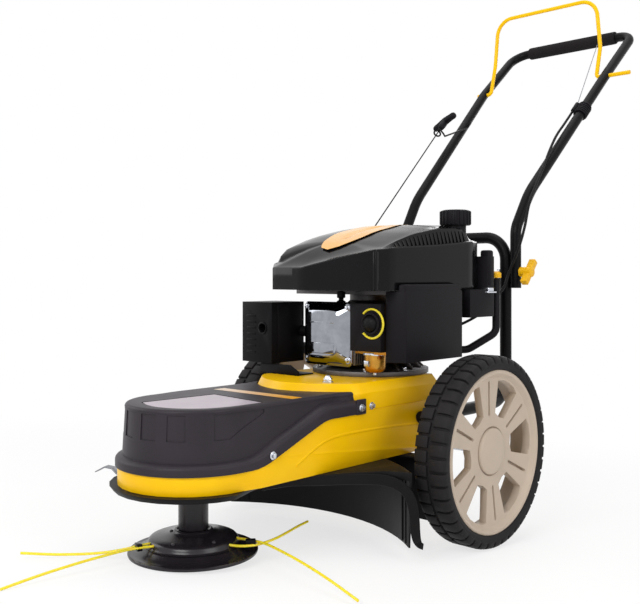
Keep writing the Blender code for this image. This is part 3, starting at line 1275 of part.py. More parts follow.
def stand_on_ground():
    """Turns the machine nose down about its axle until the glide disc's front edge meets the ground,
    then puts the origin under the middle of its box."""
    reach = AXLE_Y + DISC_RADIUS
    drop = AXLE_HEIGHT - DISC_LOW - 0.001
    angle = asin(WHEEL_RADIUS / hypot(reach, drop)) - atan2(drop, reach)
    turn = Matrix.Rotation(angle, 4, "X")
    axle = Matrix.Translation((0, AXLE_Y, AXLE_HEIGHT))
    machine.matrix_world = axle @ turn @ axle.inverted()
    bpy.context.view_layer.update()
    corners = []
    graph = bpy.context.evaluated_depsgraph_get()
    for item in bpy.context.scene.objects:
        if item.type not in ("MESH", "CURVE") or item.hide_render:
            continue
        shown = item.evaluated_get(graph)
        corners += [shown.matrix_world @ v.co for v in shown.to_mesh().vertices]
        shown.to_mesh_clear()
    middle = [(min(c[k] for c in corners) + max(c[k] for c in corners)) / 2 for k in (0, 1)]
    low = min(c.z for c in corners)
    machine.matrix_world = Matrix.Translation((-middle[0], -middle[1], -low)) @ machine.matrix_world


make_deck()
make_platform()
make_belt_cover()
make_cover_screws()
make_guard()
make_flap()
make_line_cutter()
make_axle()
make_wheel(1, "left")
make_wheel(-1, "right")
make_belt()
make_idler()
make_spindle()
make_head()
make_engine_block()
make_valve_cover()
make_muffler()
make_spark_plug()
make_carburettor()
make_primer()
make_air_filter()
make_shroud()
make_fuel_tank()
make_dipstick()
make_crank()
make_starter()
make_lower_frame()
make_upper_handle()
make_bolts_and_knobs()
make_bail()
make_control_cable()
stand_on_ground()
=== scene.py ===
# %% [markdown]
# # A wheeled string trimmer, dressed piece by piece
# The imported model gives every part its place. This lesson puts a finished piece over each of them.
# Each step says what the real piece is, how it could be made, and why it is made this way here.

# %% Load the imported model
import json
import math

import bpy
from mathutils import Matrix, Vector

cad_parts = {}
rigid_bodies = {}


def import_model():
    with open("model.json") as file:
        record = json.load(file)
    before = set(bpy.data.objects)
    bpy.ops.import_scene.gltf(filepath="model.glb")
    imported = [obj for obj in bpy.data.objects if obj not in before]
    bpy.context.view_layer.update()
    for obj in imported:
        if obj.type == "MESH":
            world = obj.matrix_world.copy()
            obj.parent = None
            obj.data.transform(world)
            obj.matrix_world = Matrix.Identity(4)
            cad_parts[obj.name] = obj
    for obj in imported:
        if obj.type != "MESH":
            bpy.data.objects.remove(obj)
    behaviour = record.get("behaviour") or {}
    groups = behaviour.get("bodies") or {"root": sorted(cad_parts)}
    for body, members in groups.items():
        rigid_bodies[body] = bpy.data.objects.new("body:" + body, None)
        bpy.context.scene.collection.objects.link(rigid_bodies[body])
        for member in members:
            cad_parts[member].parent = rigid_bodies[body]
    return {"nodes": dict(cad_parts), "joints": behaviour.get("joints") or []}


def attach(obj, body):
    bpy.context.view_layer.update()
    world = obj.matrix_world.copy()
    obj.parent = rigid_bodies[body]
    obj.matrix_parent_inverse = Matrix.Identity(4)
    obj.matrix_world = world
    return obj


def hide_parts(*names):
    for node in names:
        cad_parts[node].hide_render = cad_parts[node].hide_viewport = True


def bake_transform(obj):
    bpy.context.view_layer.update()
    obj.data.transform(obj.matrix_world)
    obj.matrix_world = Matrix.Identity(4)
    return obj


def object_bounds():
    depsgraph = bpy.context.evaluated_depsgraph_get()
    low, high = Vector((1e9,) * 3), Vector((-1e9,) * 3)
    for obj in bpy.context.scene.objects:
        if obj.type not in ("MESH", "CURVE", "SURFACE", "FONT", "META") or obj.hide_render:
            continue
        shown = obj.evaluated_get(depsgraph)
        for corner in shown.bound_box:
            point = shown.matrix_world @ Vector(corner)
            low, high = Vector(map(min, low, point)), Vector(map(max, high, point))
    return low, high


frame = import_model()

cad_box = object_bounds()
joints = {joint["name"]: joint for joint in frame["joints"]}
cad_names = [piece.name for piece in bpy.data.objects]

# %% [markdown]
# ## The level machine
# The machine stands nose down, on two wheels and the edge of its disc, so nothing on it is square
# to the ground. Modelling is easier on a level machine: its origin is under the cutting spindle,
# -Y is forward and +X is its left. One matrix then tips each finished mesh about the axle.

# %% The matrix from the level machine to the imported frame
SIDES = ((1, "left"), (-1, "right"))
WHEEL_X = 0.2515
AXLE_Y = 0.488
AXLE_Z = 0.178
axle = Vector(joints["wheel_left_spin"]["pos_m"])
crank_way = Vector(joints["crank_spin"]["axis"])
LEAN = math.atan2(-crank_way.y, crank_way.z)
MACHINE = (Matrix.Translation((axle.x - WHEEL_X, axle.y, axle.z)) @ Matrix.Rotation(LEAN, 4, "X")
           @ Matrix.Translation((0, -AXLE_Y, -AXLE_Z)))
print("leans", round(math.degrees(LEAN), 2), "degrees nose down")

# %% [markdown]
# ## Camera
# The picture was taken from the front left, just above the engine. The lens and the place were
# worked out from the ellipses of the wheel and of the disc, so the camera is set by numbers, in
# the level machine, and tipped with it. It looks straight ahead, and its lens is shifted down,
# which keeps upright edges upright.

# %% Camera
EYE = (1.153, -0.927, 0.502)
HEADING = Vector((-0.682, 0.731, 0.0)).normalized()
HORIZON_SHIFT = -25 / 640
camera_data = bpy.data.cameras.new("camera")
camera_data.lens = 49.5
camera_data.sensor_width = 36.0
camera_data.clip_end = 100.0
camera_data.shift_y = HORIZON_SHIFT
camera = bpy.data.objects.new("camera", camera_data)
bpy.context.scene.collection.objects.link(camera)
bpy.context.scene.camera = camera
turn = HEADING.to_track_quat("-Z", "Y").to_matrix().to_4x4()
camera.matrix_world = MACHINE @ Matrix.Translation(EYE) @ turn
print("camera at", [round(v, 3) for v in camera.matrix_world.translation])

# %% [markdown]
# ## Small tools
# The same few moves come back in every step: pick a piece, spin an outline, draw an outline out,
# follow a path with a round section, round the edges, cut one piece with another. Each is a short
# function over Blender's own operators, so that the steps can say what they make.

# %% Small tools: picking, settling and joining
def work_on(*chosen):
    """Leaves only these pieces selected, the last one active."""
    bpy.ops.object.select_all(action="DESELECT")
    for piece in chosen:
        piece.select_set(True)
    bpy.context.view_layer.objects.active = chosen[-1]


def drawn(name, points, edges=(), faces=()):
    """A new mesh from bare points, with its edges or faces."""
    mesh = bpy.data.meshes.new(name)
    mesh.from_pydata(points, edges, faces)
    piece = bpy.data.objects.new(name, mesh)
    bpy.context.scene.collection.objects.link(piece)
    work_on(piece)
    return piece


def apply_all(piece):
    work_on(piece)
    for modifier in list(piece.modifiers):
        bpy.ops.object.modifier_apply(modifier=modifier.name)
    return piece


def in_edit(piece, *moves):
    """Runs edit mode operators on the whole of a piece."""
    work_on(piece)
    bpy.ops.object.mode_set(mode="EDIT")
    bpy.ops.mesh.select_all(action="SELECT")
    for move in moves:
        move()
    bpy.ops.object.mode_set(mode="OBJECT")
    return piece


def tidy(piece):
    """Merges doubled points and turns the faces outward."""
    return in_edit(piece, lambda: bpy.ops.mesh.remove_doubles(threshold=0.000005),
                   lambda: bpy.ops.mesh.normals_make_consistent(inside=False))


def rounded(piece, width, segments=2, angle=30):
    """Rounds the sharp edges, as a mould or a press leaves them."""
    bevel = piece.modifiers.new("bevel", "BEVEL")
    bevel.width = width
    bevel.segments = segments
    bevel.limit_method = "ANGLE"
    bevel.angle_limit = math.radians(angle)
    return apply_all(piece)


def cut_with(piece, *cutters, operation="DIFFERENCE", folded=False):
    """Cuts, or adds, other pieces and throws them away. A folded skin may overlap itself."""
    for cutter in cutters:
        step = piece.modifiers.new("cut", "BOOLEAN")
        step.operation = operation
        step.object = cutter
        step.solver = "EXACT"
        step.use_self = folded
        apply_all(piece)
        bpy.data.objects.remove(cutter)
    return piece


def joined(name, *pieces):
    work_on(*pieces)
    bpy.ops.object.join()
    made = bpy.context.view_layer.objects.active
    made.name = name
    return made


def moved(piece, matrix):
    """Moves the mesh itself, so that the object stays at the origin."""
    piece.data.transform(matrix)
    if matrix.determinant() < 0:
        piece.data.flip_normals()
    return piece


def copy_of(piece, name):
    made = piece.copy()
    made.data = piece.data.copy()
    made.name = name
    for key in list(made.keys()):
        del made[key]
    made.parent = None
    bpy.context.scene.collection.objects.link(made)
    return made


def settle(piece, body, material, stands_for=(), level=True, smooth=35):
    """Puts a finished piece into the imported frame, paints it and lets it ride on its body."""
    piece.data.transform(piece.matrix_world)
    piece.matrix_world = Matrix.Identity(4)
    if level:
        piece.data.transform(MACHINE)
    if piece.name.split(".")[0] in cad_names:
        piece.name = piece.name.split(".")[0] + "_dressed"
    work_on(piece)
    bpy.ops.object.shade_smooth_by_angle(angle=math.radians(smooth))
    if not piece.data.materials:
        piece.data.materials.append(material)
    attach(piece, body)
    if stands_for:
        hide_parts(*stands_for)
    return piece


print("tools for picking and settling are ready")

# %% [markdown]
# A second group makes shapes: spun, drawn out, swept along a path, bridged over loops of points,
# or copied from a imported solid.

# %% Small tools: shapes
def lathe(name, outline, steps=48, closed=False):
    """Spins (radius, height) points about Z."""
    count = len(outline)
    edges = [(i, i + 1) for i in range(count - 1)]
    if closed:
        edges.append((count - 1, 0))
    piece = drawn(name, [(radius, 0, z) for radius, z in outline], edges)
    in_edit(piece, lambda: bpy.ops.mesh.spin(steps=steps, angle=2 * math.pi, center=(0, 0, 0),
                                             axis=(0, 0, 1)))
    return tidy(piece)


def slab(name, outline, low, high):
    """An outline of (x, y) points, drawn out from one height to another."""
    piece = drawn(name, [(x, y, low) for x, y in outline], (), [list(range(len(outline)))])
    in_edit(piece, lambda: bpy.ops.mesh.extrude_region_move(
        TRANSFORM_OT_translate={"value": (0, 0, high - low)}))
    return tidy(piece)


ALONG_Y = Matrix(((1, 0, 0, 0), (0, 0, 1, 0), (0, 1, 0, 0), (0, 0, 0, 1)))


def slab_y(name, outline, low, high):
    """An outline of (x, z) points, drawn out along Y."""
    return moved(slab(name, outline, low, high), ALONG_Y)


def block(name, low, high, round_by=0.0, segments=2):
    """A cube at its size and place, its edges rounded."""
    centre = [(a + b) / 2 for a, b in zip(low, high)]
    size = [b - a for a, b in zip(low, high)]
    bpy.ops.object.select_all(action="DESELECT")
    bpy.ops.mesh.primitive_cube_add(size=1, location=centre, scale=size)
    piece = bpy.context.object
    piece.name = name
    bpy.ops.object.transform_apply(location=True, rotation=True, scale=True)
    if round_by:
        rounded(piece, round_by, segments)
    return piece


def rod(name, points, radius, sides=3, closed=False):
    """A round section along a path of points, its ends filled."""
    curve = bpy.data.curves.new(name, "CURVE")
    curve.dimensions = "3D"
    line = curve.splines.new("POLY")
    line.points.add(len(points) - 1)
    for spot, point in zip(line.points, points):
        spot.co = (*point, 1.0)
    line.use_cyclic_u = closed
    curve.bevel_depth = radius
    curve.bevel_resolution = sides
    curve.use_fill_caps = not closed
    piece = bpy.data.objects.new(name, curve)
    bpy.context.scene.collection.objects.link(piece)
    work_on(piece)
    bpy.ops.object.convert(target="MESH")
    return tidy(bpy.context.object)


def bridged(name, loops, first=False, last=True):
    """Joins closed loops of points, one after the other, with four-sided faces."""
    count = len(loops[0])
    points = [point for loop in loops for point in loop]
    faces = []
    for level in range(len(loops) - 1):
        for i in range(count):
            j = (i + 1) % count
            faces.append((level * count + i, level * count + j, (level + 1) * count + j,
                          (level + 1) * count + i))
    if first:
        faces.append(tuple(range(count)))
    if last:
        faces.append(tuple((len(loops) - 1) * count + i for i in range(count)))
    return tidy(drawn(name, points, (), faces))


def grid_faces(rows, columns):
    """Four-sided faces over points that were laid row by row."""
    return [(i * columns + j, i * columns + j + 1, (i + 1) * columns + j + 1, (i + 1) * columns + j)
            for i in range(rows - 1) for j in range(columns - 1)]


def thickened(piece, thickness):
    """Gives a skin its wall, inward."""
    wall = piece.modifiers.new("wall", "SOLIDIFY")
    wall.thickness = thickness
    wall.offset = -1.0
    return apply_all(piece)


def polar(radius, angle, x=0.0, y=0.0):
    """A point at a distance and an angle from (x, y)."""
    return x + radius * math.cos(angle), y + radius * math.sin(angle)


def there_and_back(half, middle=()):
    """An outline whose second half mirrors the first."""
    return [*half, *middle, *[(reach, -along) for reach, along in reversed(half)]]


def bent(points, radii, steps=8):
    """A path through corner points, each inner corner turned with its own radius."""
    path = [Vector(points[0])]
    for before, here, after, radius in zip(points, points[1:], points[2:], radii):
        here = Vector(here)
        back = (Vector(before) - here).normalized()
        onward = (Vector(after) - here).normalized()
        half = back.angle(onward) / 2
        if radius <= 0 or abs(half - math.pi / 2) < 0.01:
            path.append(here)
            continue
        middle = here + (back + onward).normalized() * (radius / math.sin(half))
        reach = radius / math.tan(half)
        first = (here + back * reach - middle).normalized()
        last = (here + onward * reach - middle).normalized()
        path += [middle + first.slerp(last, i / steps) * radius for i in range(steps + 1)]
    return path + [Vector(points[-1])]


def flowing(points, per_span=6):
    """Points on a smooth curve through the given ones."""
    spots = [Vector(p) for p in points]
    spots = [2 * spots[0] - spots[1]] + spots + [2 * spots[-1] - spots[-2]]
    route = []
    for a, b, c, d in zip(spots, spots[1:], spots[2:], spots[3:]):
        for i in range(per_span):
            t = i / per_span
            route.append(0.5 * (2 * b + (c - a) * t + (2 * a - 5 * b + 4 * c - d) * t * t
                                + (3 * b - 3 * c + d - a) * t * t * t))
    return route + [spots[-2]]


def cad_copy(node, name):
    """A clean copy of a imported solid: doubled points merged, flat faces made whole."""
    piece = copy_of(frame["nodes"][node], name)
    piece.data.materials.clear()
    return in_edit(piece, lambda: bpy.ops.mesh.remove_doubles(threshold=0.00001),
                   lambda: bpy.ops.mesh.dissolve_limited(angle_limit=math.radians(0.5)))


def dress(node, name, bevel, body, material, smooth=35):
    """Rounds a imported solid's edges, by width, steps and angle, and lets it stand for itself."""
    piece = rounded(cad_copy(node, name), *bevel)
    return settle(piece, body, material, [node], level=False, smooth=smooth)


print("tools for shapes are ready")

# %% [markdown]
# ## Finishes
# Colours are picked as sRGB hex values, as a paint chart gives them, and one function turns them
# into the linear values that the shader wants. A second small function adds a node, sets it and
# links it.

# %% Colour and node helpers
def colour(code):
    """An sRGB hex value as linear red, green, blue and alpha."""
    parts = [int(code[i:i + 2], 16) / 255 for i in (1, 3, 5)]
    return (*[p / 12.92 if p <= 0.04045 else ((p + 0.055) / 1.055) ** 2.4 for p in parts], 1.0)


def add_node(tree, kind, inputs=None, **settings):
    """Adds a node. An input is a plain value, or the socket of another node that feeds it."""
    made = tree.nodes.new(kind)
    for key, value in settings.items():
        setattr(made, key, value)
    for key, value in (inputs or {}).items():
        if isinstance(value, bpy.types.NodeSocket):
            tree.links.new(value, made.inputs[key])
        else:
            made.inputs[key].default_value = value
    return made


def noise(tree, place, scale, detail, **more):
    """The value of a noise pattern."""
    values = {"Vector": place, "Scale": scale, "Detail": detail, **more}
    return add_node(tree, "ShaderNodeTexNoise", values).outputs["Fac"]


def two_tone(tree, surface, share, deep, bright):
    """Lets the base colour drift between two tones."""
    mix = add_node(tree, "ShaderNodeMix", {"Factor": share, "A": colour(deep), "B": colour(bright)},
                   data_type="RGBA")
    tree.links.new(mix.outputs["Result"], surface.inputs["Base Color"])


def bumped(tree, surface, height, strength, distance):
    bump = add_node(tree, "ShaderNodeBump", {"Height": height, "Strength": strength,
                                             "Distance": distance})
    tree.links.new(bump.outputs["Normal"], surface.inputs["Normal"])


def dulled(tree, surface, share, low, high):
    """Lets the roughness drift between two values."""
    spread = add_node(tree, "ShaderNodeMapRange", {"Value": share, "To Min": low, "To Max": high})
    tree.links.new(spread.outputs["Result"], surface.inputs["Roughness"])


def new_material(name, **surface_values):
    """A material with its surface shader, and the object's own coordinates to hang patterns on."""
    material = bpy.data.materials.new(name)
    material.use_nodes = True
    tree = material.node_tree
    surface = tree.nodes["Principled BSDF"]
    for key, value in surface_values.items():
        surface.inputs[key.replace("_", " ")].default_value = value
    place = tree.nodes.new("ShaderNodeTexCoord").outputs["Object"]
    return material, tree, surface, place


print("yellow in linear light:", [round(v, 3) for v in colour("#f2b600")[:3]])

# %% [markdown]
# ### Powder coat
# The deck, the platform, the bail and the black tubes are steel with a baked powder coat. The coat
# flows like orange peel, about 2 mm from bump to bump, and is slightly glossier on the crests. Two
# noise scales give that: a fine one for the bump and a broad one for a faint drift of the colour.

# %% Powder coats
def powder_coat(name, deep, bright, roughness, shine=0.5, coat=0.2, peel=0.00004):
    material, tree, surface, place = new_material(name, Roughness=roughness, Coat_Weight=coat,
                                                  Coat_Roughness=0.15, Specular_IOR_Level=shine)
    two_tone(tree, surface, noise(tree, place, 14.0, 3.0), deep, bright)
    bumped(tree, surface, noise(tree, place, 480.0, 2.0), 0.35, peel)
    return material


YELLOW_COAT = powder_coat("yellow_powder_coat", "#f2b800", "#fac800", 0.32, 0.18, 0.0)
BLACK_COAT = powder_coat("black_powder_coat", "#0c0b0d", "#131214", 0.36, 0.08, 0.0)
print("made", YELLOW_COAT.name, "and", BLACK_COAT.name)

# %% [markdown]
# ### Moulded plastics
# The belt cover, the guard and the engine's covers are injection moulded polypropylene or ABS. A
# mould tool is spark eroded, which leaves a fine even grain: satin on the covers, almost none on
# the polished blower shroud. The rims are the same plastic in beige.

# %% Moulded plastics
def moulded(name, deep, bright, roughness, grain_mm=0.5, depth=0.00002, shine=0.5):
    material, tree, surface, place = new_material(name, Roughness=roughness, IOR=1.5,
                                                  Specular_IOR_Level=shine)
    drift = noise(tree, place, 20.0, 4.0)
    two_tone(tree, surface, drift, deep, bright)
    bumped(tree, surface, noise(tree, place, 1000.0 / grain_mm, 2.0), 0.5, depth)
    dulled(tree, surface, drift, roughness - 0.05, roughness + 0.07)
    return material


SATIN_BLACK = moulded("satin_black_polypropylene", "#282429", "#302b31", 0.44, 0.6, shine=0.18)
GUARD_BLACK = moulded("dull_black_polypropylene", "#0f0e0f", "#161516", 0.42, 0.6, shine=0.1)
GLOSS_BLACK = moulded("gloss_black_abs", "#0a090b", "#0f0e10", 0.14, 2.0, 0.00001, 0.12)
HEAD_BLACK = moulded("semi_gloss_black_nylon", "#1b181c", "#252126", 0.24, 0.8, shine=0.35)
BEIGE_RIM = moulded("beige_polypropylene", "#b7a796", "#c2b2a1", 0.42, 0.7, shine=0.25)
YELLOW_KNOB = moulded("yellow_abs", "#e3a800", "#efb705", 0.35, 0.8, shine=0.3)
CAP_BLACK = moulded("satin_black_cap_plastic", "#131114", "#1a181b", 0.45, 0.6, shine=0.08)
print("made seven moulded plastics")

# %% [markdown]
# ### Rubbers and foam
# Tyres, flap and cable sheath are carbon black rubber, which is dull and dusty in its grooves. The
# handle sleeve is closed-cell foam, whose skin shows small cells when seen close.

# %% Rubbers and foam
def rubber(name, deep, bright, roughness, grain_mm, depth):
    material, tree, surface, place = new_material(name, Roughness=roughness, IOR=1.5,
                                                  Specular_IOR_Level=0.12)
    two_tone(tree, surface, noise(tree, place, 30.0, 6.0, Roughness=0.65), deep, bright)
    cells = add_node(tree, "ShaderNodeTexVoronoi", {"Vector": place, "Scale": 1000.0 / grain_mm})
    bumped(tree, surface, cells.outputs["Distance"], 0.5, depth)
    return material


TYRE_RUBBER = rubber("tyre_rubber_carbon_black", "#1a191a", "#272526", 0.62, 1.2, 0.00005)
SHEATH_RUBBER = rubber("sheath_rubber", "#0d0c0d", "#151415", 0.5, 0.8, 0.00002)
HANDLE_FOAM = rubber("nitrile_foam", "#181718", "#221f21", 0.85, 1.0, 0.0002)
print("made three rubbers")

# %% [markdown]
# ### Metals
# Fasteners and the axle are zinc plated steel, bright with a faint blue. The valve cover is chrome
# plated, the carburettor bowl has yellow zinc plate, and the crankcase is die cast aluminium, grey
# and grainy. Plated steel keeps fine drawing lines, so its noise is stretched along one axis.

# %% Metals
def metal(name, deep, bright, roughness, stretch, grain, depth):
    material, tree, surface, place = new_material(name, Metallic=1.0, Roughness=roughness)
    lines = add_node(tree, "ShaderNodeMapping", {"Vector": place, "Scale": stretch})
    drawing = noise(tree, lines.outputs["Vector"], grain, 5.0)
    two_tone(tree, surface, drawing, deep, bright)
    dulled(tree, surface, drawing, roughness * 0.7, roughness * 1.35)
    bumped(tree, surface, drawing, 0.4, depth)
    return material


ZINC_PLATE = metal("zinc_plated_steel", "#b9bcc4", "#dfe2e8", 0.24, (1, 1, 6), 300.0, 0.00001)
PLAIN_STEEL = metal("plain_steel", "#6e6f74", "#96979c", 0.38, (1, 8, 1), 200.0, 0.00002)
CHROME = metal("chrome_plate", "#7c7f86", "#abaeb5", 0.08, (1, 1, 1), 60.0, 0.000005)
YELLOW_ZINC = metal("yellow_zinc_plate", "#a9742c", "#d9a548", 0.28, (1, 1, 1), 120.0, 0.00003)
CAST_METAL = metal("die_cast_aluminium", "#4d4b4c", "#7b7877", 0.5, (1, 1, 1), 260.0, 0.00012)
print("made five metals")

# %% [markdown]
# ### Nylon line
# The cutting line is extruded nylon: yellow, smooth, and a little see-through, so light glows in
# it.

# %% Nylon line
NYLON, tree, surface, place = new_material("yellow_nylon_line", Roughness=0.3,
                                           Subsurface_Weight=0.25, Subsurface_Scale=0.002)
two_tone(tree, surface, noise(tree, place, 150.0, 2.0), "#efd71c", "#fbe83a")
print("made", NYLON.name)

# %% [markdown]
# ## Deck and engine platform
# Both are pressed from 2.5 mm sheet and welded along the seam. A press can't make a sharp edge, so
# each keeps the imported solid's shape and gets the bend radius of the sheet along its edges. A
# shallow bead is pressed into the side to stiffen it.

# %% Deck and engine platform
DECK_HALF = 0.130
deck = dress("chassis_deck", "deck", (0.0018, 3), "chassis", YELLOW_COAT)
platform = dress("engine_platform", "platform", (0.0050, 5, 25), "chassis",
                 YELLOW_COAT)


def side_bead(side):
    """A pressed fold along the deck's side, only its crest standing out of the wall."""
    path = flowing([(0, 0.112, 0.189), (0, 0.150, 0.208), (0, 0.189, 0.2215), (0, 0.240, 0.2255),
                    (0, 0.346, 0.224), (0, 0.480, 0.217)], 5)
    bead = rod("deck_bead", path, 0.0050, 5)
    return moved(bead, Matrix.Translation((side * (DECK_HALF - 0.0040), 0, 0)))


beads = joined("deck_beads", side_bead(1), side_bead(-1))
settle(beads, "chassis", YELLOW_COAT)
print("deck and platform with", len(deck.data.polygons) + len(platform.data.polygons), "faces")

# %% [markdown]
# ## Belt cover
# The cover is one moulding: a flange hangs over the deck's edge, a ledge steps inward, and the
# wall rises with a little draft to a rounded edge. The plan is followed once round the nose, with
# its outward direction at every point, and rows of points are laid along it at growing distances
# inward. Faces between the rows give the skin, and a solidify step gives it the thickness of the
# moulding.

# %% Belt cover: plan, rows and skin
COVER_LOW = [(0.020, 0.196), (0.035, 0.1985), (0.050, 0.204), (0.165, 0.2495), (0.180, 0.2548),
             (0.195, 0.257)]
FLANGE_RADIUS = 0.1272
FLANGE_HALF = 0.1332


def between(table, y):
    """Reads a height from a list of (y, z) points."""
    if y <= table[0][0]:
        return table[0][1]
    for (y0, z0), (y1, z1) in zip(table, table[1:]):
        if y <= y1:
            return z0 + (z1 - z0) * (y - y0) / (y1 - y0)
    return table[-1][1]


def nose_spots(first, last, steps=6):
    """Points of the round nose between two angles, with their outward directions."""
    angles = [math.radians(first + (last - first) * i / steps) for i in range(steps + 1)]
    return [(polar(FLANGE_RADIUS, a), polar(1.0, a)) for a in angles]


def cover_plan():
    """Points of the flange's outer edge with their outward directions, from near to far rear."""
    near = [(FLANGE_HALF, 0.2880 - 0.008 * i) for i in range(29)]
    sides = [((x, y), (1.0, 0.0)) for x, y in near]
    blend_in = [((FLANGE_HALF - 0.006 * t * t * (3 - 2 * t), 0.060 * (1 - t)), (1.0, 0.0))
                for t in (0.15, 0.35, 0.55, 0.75, 0.9)]
    nose = nose_spots(0, -180, 64)
    first = sides + blend_in
    far = [((-x, y), (-nx, ny)) for (x, y), (nx, ny) in reversed(first)]
    return first + nose + far


def wall_inset(z):
    """How far the wall stands inside the flange's edge: the ledge and the draft."""
    return 0.0117 + 0.0039 * (z - 0.220) / 0.077


def along_plan(spot, inset, z):
    (x, y), (nx, ny) = spot
    return x - nx * inset, y - ny * inset, z


HEM = [(0.010, 0.0186), (0.060, 0.0265), (0.165, 0.0265), (0.285, 0.0262)]
plan = cover_plan()
rows = []
for spot in plan:
    y = spot[0][1]
    low, hem = between(COVER_LOW, y), between(HEM, y)
    rear = min(max((y - 0.225) / 0.035, 0.0), 1.0)
    out = 0.0058 * rear * rear * (3 - 2 * rear)
    soft = 0.0055 - 0.45 * out
    line = [(0.0, low), (0.0, low + 0.565 * hem), (0.0007, low + 0.68 * hem),
            (0.0025, low + 0.80 * hem), (0.0060, low + 0.90 * hem), (0.0092, low + 0.955 * hem),
            (wall_inset(low + hem) - out, low + hem)]
    line += [(wall_inset(z) + 0.0004 - out, z) for z in (0.2885, 0.2900)]
    line += [(wall_inset(0.2910) - out + soft * (1 - math.cos(a)), 0.2912 + 0.0058 * math.sin(a))
             for a in (0.0, 0.35, 0.7, 1.05, 1.35, math.pi / 2)]
    rows.append([along_plan(spot, inset, z) for inset, z in line])
count = len(rows[0])
faces = grid_faces(len(rows), count)
faces.append(tuple(i * count + count - 1 for i in range(len(rows))))
cover = tidy(drawn("cover", [point for row in rows for point in row], (), faces))
thickened(cover, 0.0023)
print("cover skin with", len(cover.data.polygons), "faces")

# %% [markdown]
# The platform's arched front bites into the cover, and shallow pockets stiffen its wall. Both are
# cut: the arch as a prism, each pocket as a thin body that follows the wall at its own depth. The
# top has a sunk field for a label, which is left bare.

# %% Belt cover: the cuts
POCKET_LOW, POCKET_HIGH = 0.248, 0.2885
OUTSIDE = 0.012
PLATFORM_HALF, PLATFORM_DEPTH, PLATFORM_ROUNDING = 0.130, 0.088, 1.6


def arch(grow, steps=40):
    """The platform's plan, a little larger."""
    half, depth = PLATFORM_HALF + grow, PLATFORM_DEPTH + grow
    line = []
    for i in range(steps + 1):
        share = math.cos(math.pi * i / steps)
        round_share = max(1 - abs(share) ** PLATFORM_ROUNDING, 0) ** (1 / PLATFORM_ROUNDING)
        line.append((half * share, 0.282 - depth * round_share))
    return [(half, 0.300)] + line + [(-half, 0.300)]


def pocket(spots, lows, highs, depth):
    """A body along the wall that reaches a little into it."""
    loops = []
    for spot, low, high in zip(spots, lows, highs):
        loops.append([along_plan(spot, wall_inset(z) + reach, z) for z, reach in (
            (low, depth), (low, -OUTSIDE), (high, -OUTSIDE), (high, depth))])
    return bridged("pocket", loops, True, True)


near_spots = [spot for spot in plan if spot[0][0] > 0 and -0.052 < spot[0][1] < 0.062]
side_highs = [POCKET_HIGH - max(y - 0.058, 0) * 0.1 for (x, y), outward in near_spots]
side_lows = [min(POCKET_LOW + max(y + 0.019, 0.0) * 0.50, high - 0.0005)
             for ((x, y), outward), high in zip(near_spots, side_highs)]
panels = []
for side, name in SIDES:
    spots = [((side * x, y), (side * nx, ny)) for (x, y), (nx, ny) in near_spots]
    panels.append(pocket(spots, side_lows, side_highs, 0.0018))
pockets = [pocket(nose_spots(first, first + 15), [POCKET_LOW] * 7, [POCKET_HIGH] * 7, 0.0019)
           for first in (-60, -85, -110, -135)]
FOIL_LINE = [(0.100, 0.061), (0.097, 0.0), (0.088, -0.035), (0.070, -0.060), (0.045, -0.077),
             (0.015, -0.085), (-0.015, -0.082), (-0.042, -0.071)]


def foil_plan(grow):
    curve = [(p.x, p.y) for p in flowing([(x, y, 0) for x, y in FOIL_LINE], 4)]
    curve.append((-0.033, 0.073))
    middle = Vector((0.025, -0.005))
    return [tuple(middle + (Vector(p) - middle) * (1 + grow / 0.075)) for p in curve]


cut_with(cover, *pockets, *panels)
cut_with(cover, slab("arch", arch(0.0003), 0.150, 0.330),
         slab("label_field", foil_plan(0.0025), 0.2962, 0.300), folded=True)
rounded(cover, 0.0008, 2, 38)
settle(cover, "chassis", SATIN_BLACK, ["belt_cover"], smooth=30)
print("belt cover with", len(cover.data.polygons), "faces")

# %% [markdown]
# The label field carries a pale foil with a soft metallic sheen, and a printed bar crosses the
# cover behind it, orange on the near side and fading to pale on the far side. Both are thin slabs
# with a plain finish: no lettering is put on them.

# %% Label foil and bar
FOIL, tree, surface, place = new_material("silver_lilac_foil", Roughness=0.38, Metallic=0.2)
two_tone(tree, surface, noise(tree, place, 25.0, 4.0), "#a2979f", "#b9aeb6")

BAR_INK, tree, surface, place = new_material("printed_bar_ink", Roughness=0.4)
across_bar = add_node(tree, "ShaderNodeSeparateXYZ", {"Vector": place})
ramp = add_node(tree, "ShaderNodeMapRange", {"Value": across_bar.outputs["X"], "From Min": -0.10,
                                             "From Max": 0.07})
two_tone(tree, surface, ramp.outputs["Result"], "#d9c3ae", "#dd9a1c")

foil = rounded(slab("label_foil", foil_plan(0.0), 0.2962, 0.2966), 0.0001, 1)
settle(foil, "chassis", FOIL)
bar_plan = [(-0.084, 0.115), (0.1105, 0.122), (0.1105, 0.146), (-0.084, 0.139)]
bar = rounded(slab("printed_bar", bar_plan, 0.297, 0.2973), 0.0001, 1)
settle(bar, "chassis", BAR_INK)
print("foil and bar laid on the cover")

# %% [markdown]
# ## Flange screws
# The cover and the deck are held by hexagon flange screws. A six-sided lathe makes the head, and a
# round washer face goes under it. One is modelled and then copied to each place.

# %% Flange screws
def flange_screw(name, head=0.0048, flange=0.0068, height=0.0055):
    hexagon = slab("head", [polar(head, math.pi * i / 3) for i in range(6)], 0.0012, height)
    rounded(hexagon, 0.0005, 2)
    washer = lathe("washer", [(0, 0), (flange, 0), (flange, 0.0008), (head * 0.9, 0.0018),
                              (0, 0.0018)], 32)
    return joined(name, washer, hexagon)


def on_side(piece, side, y, z, x):
    """Lays a piece drawn about Z along X, at a place on the machine's side."""
    turned = Matrix.Rotation(side * math.pi / 2, 4, "Y")
    return moved(piece, Matrix.Translation((side * x, y, z)) @ turned)


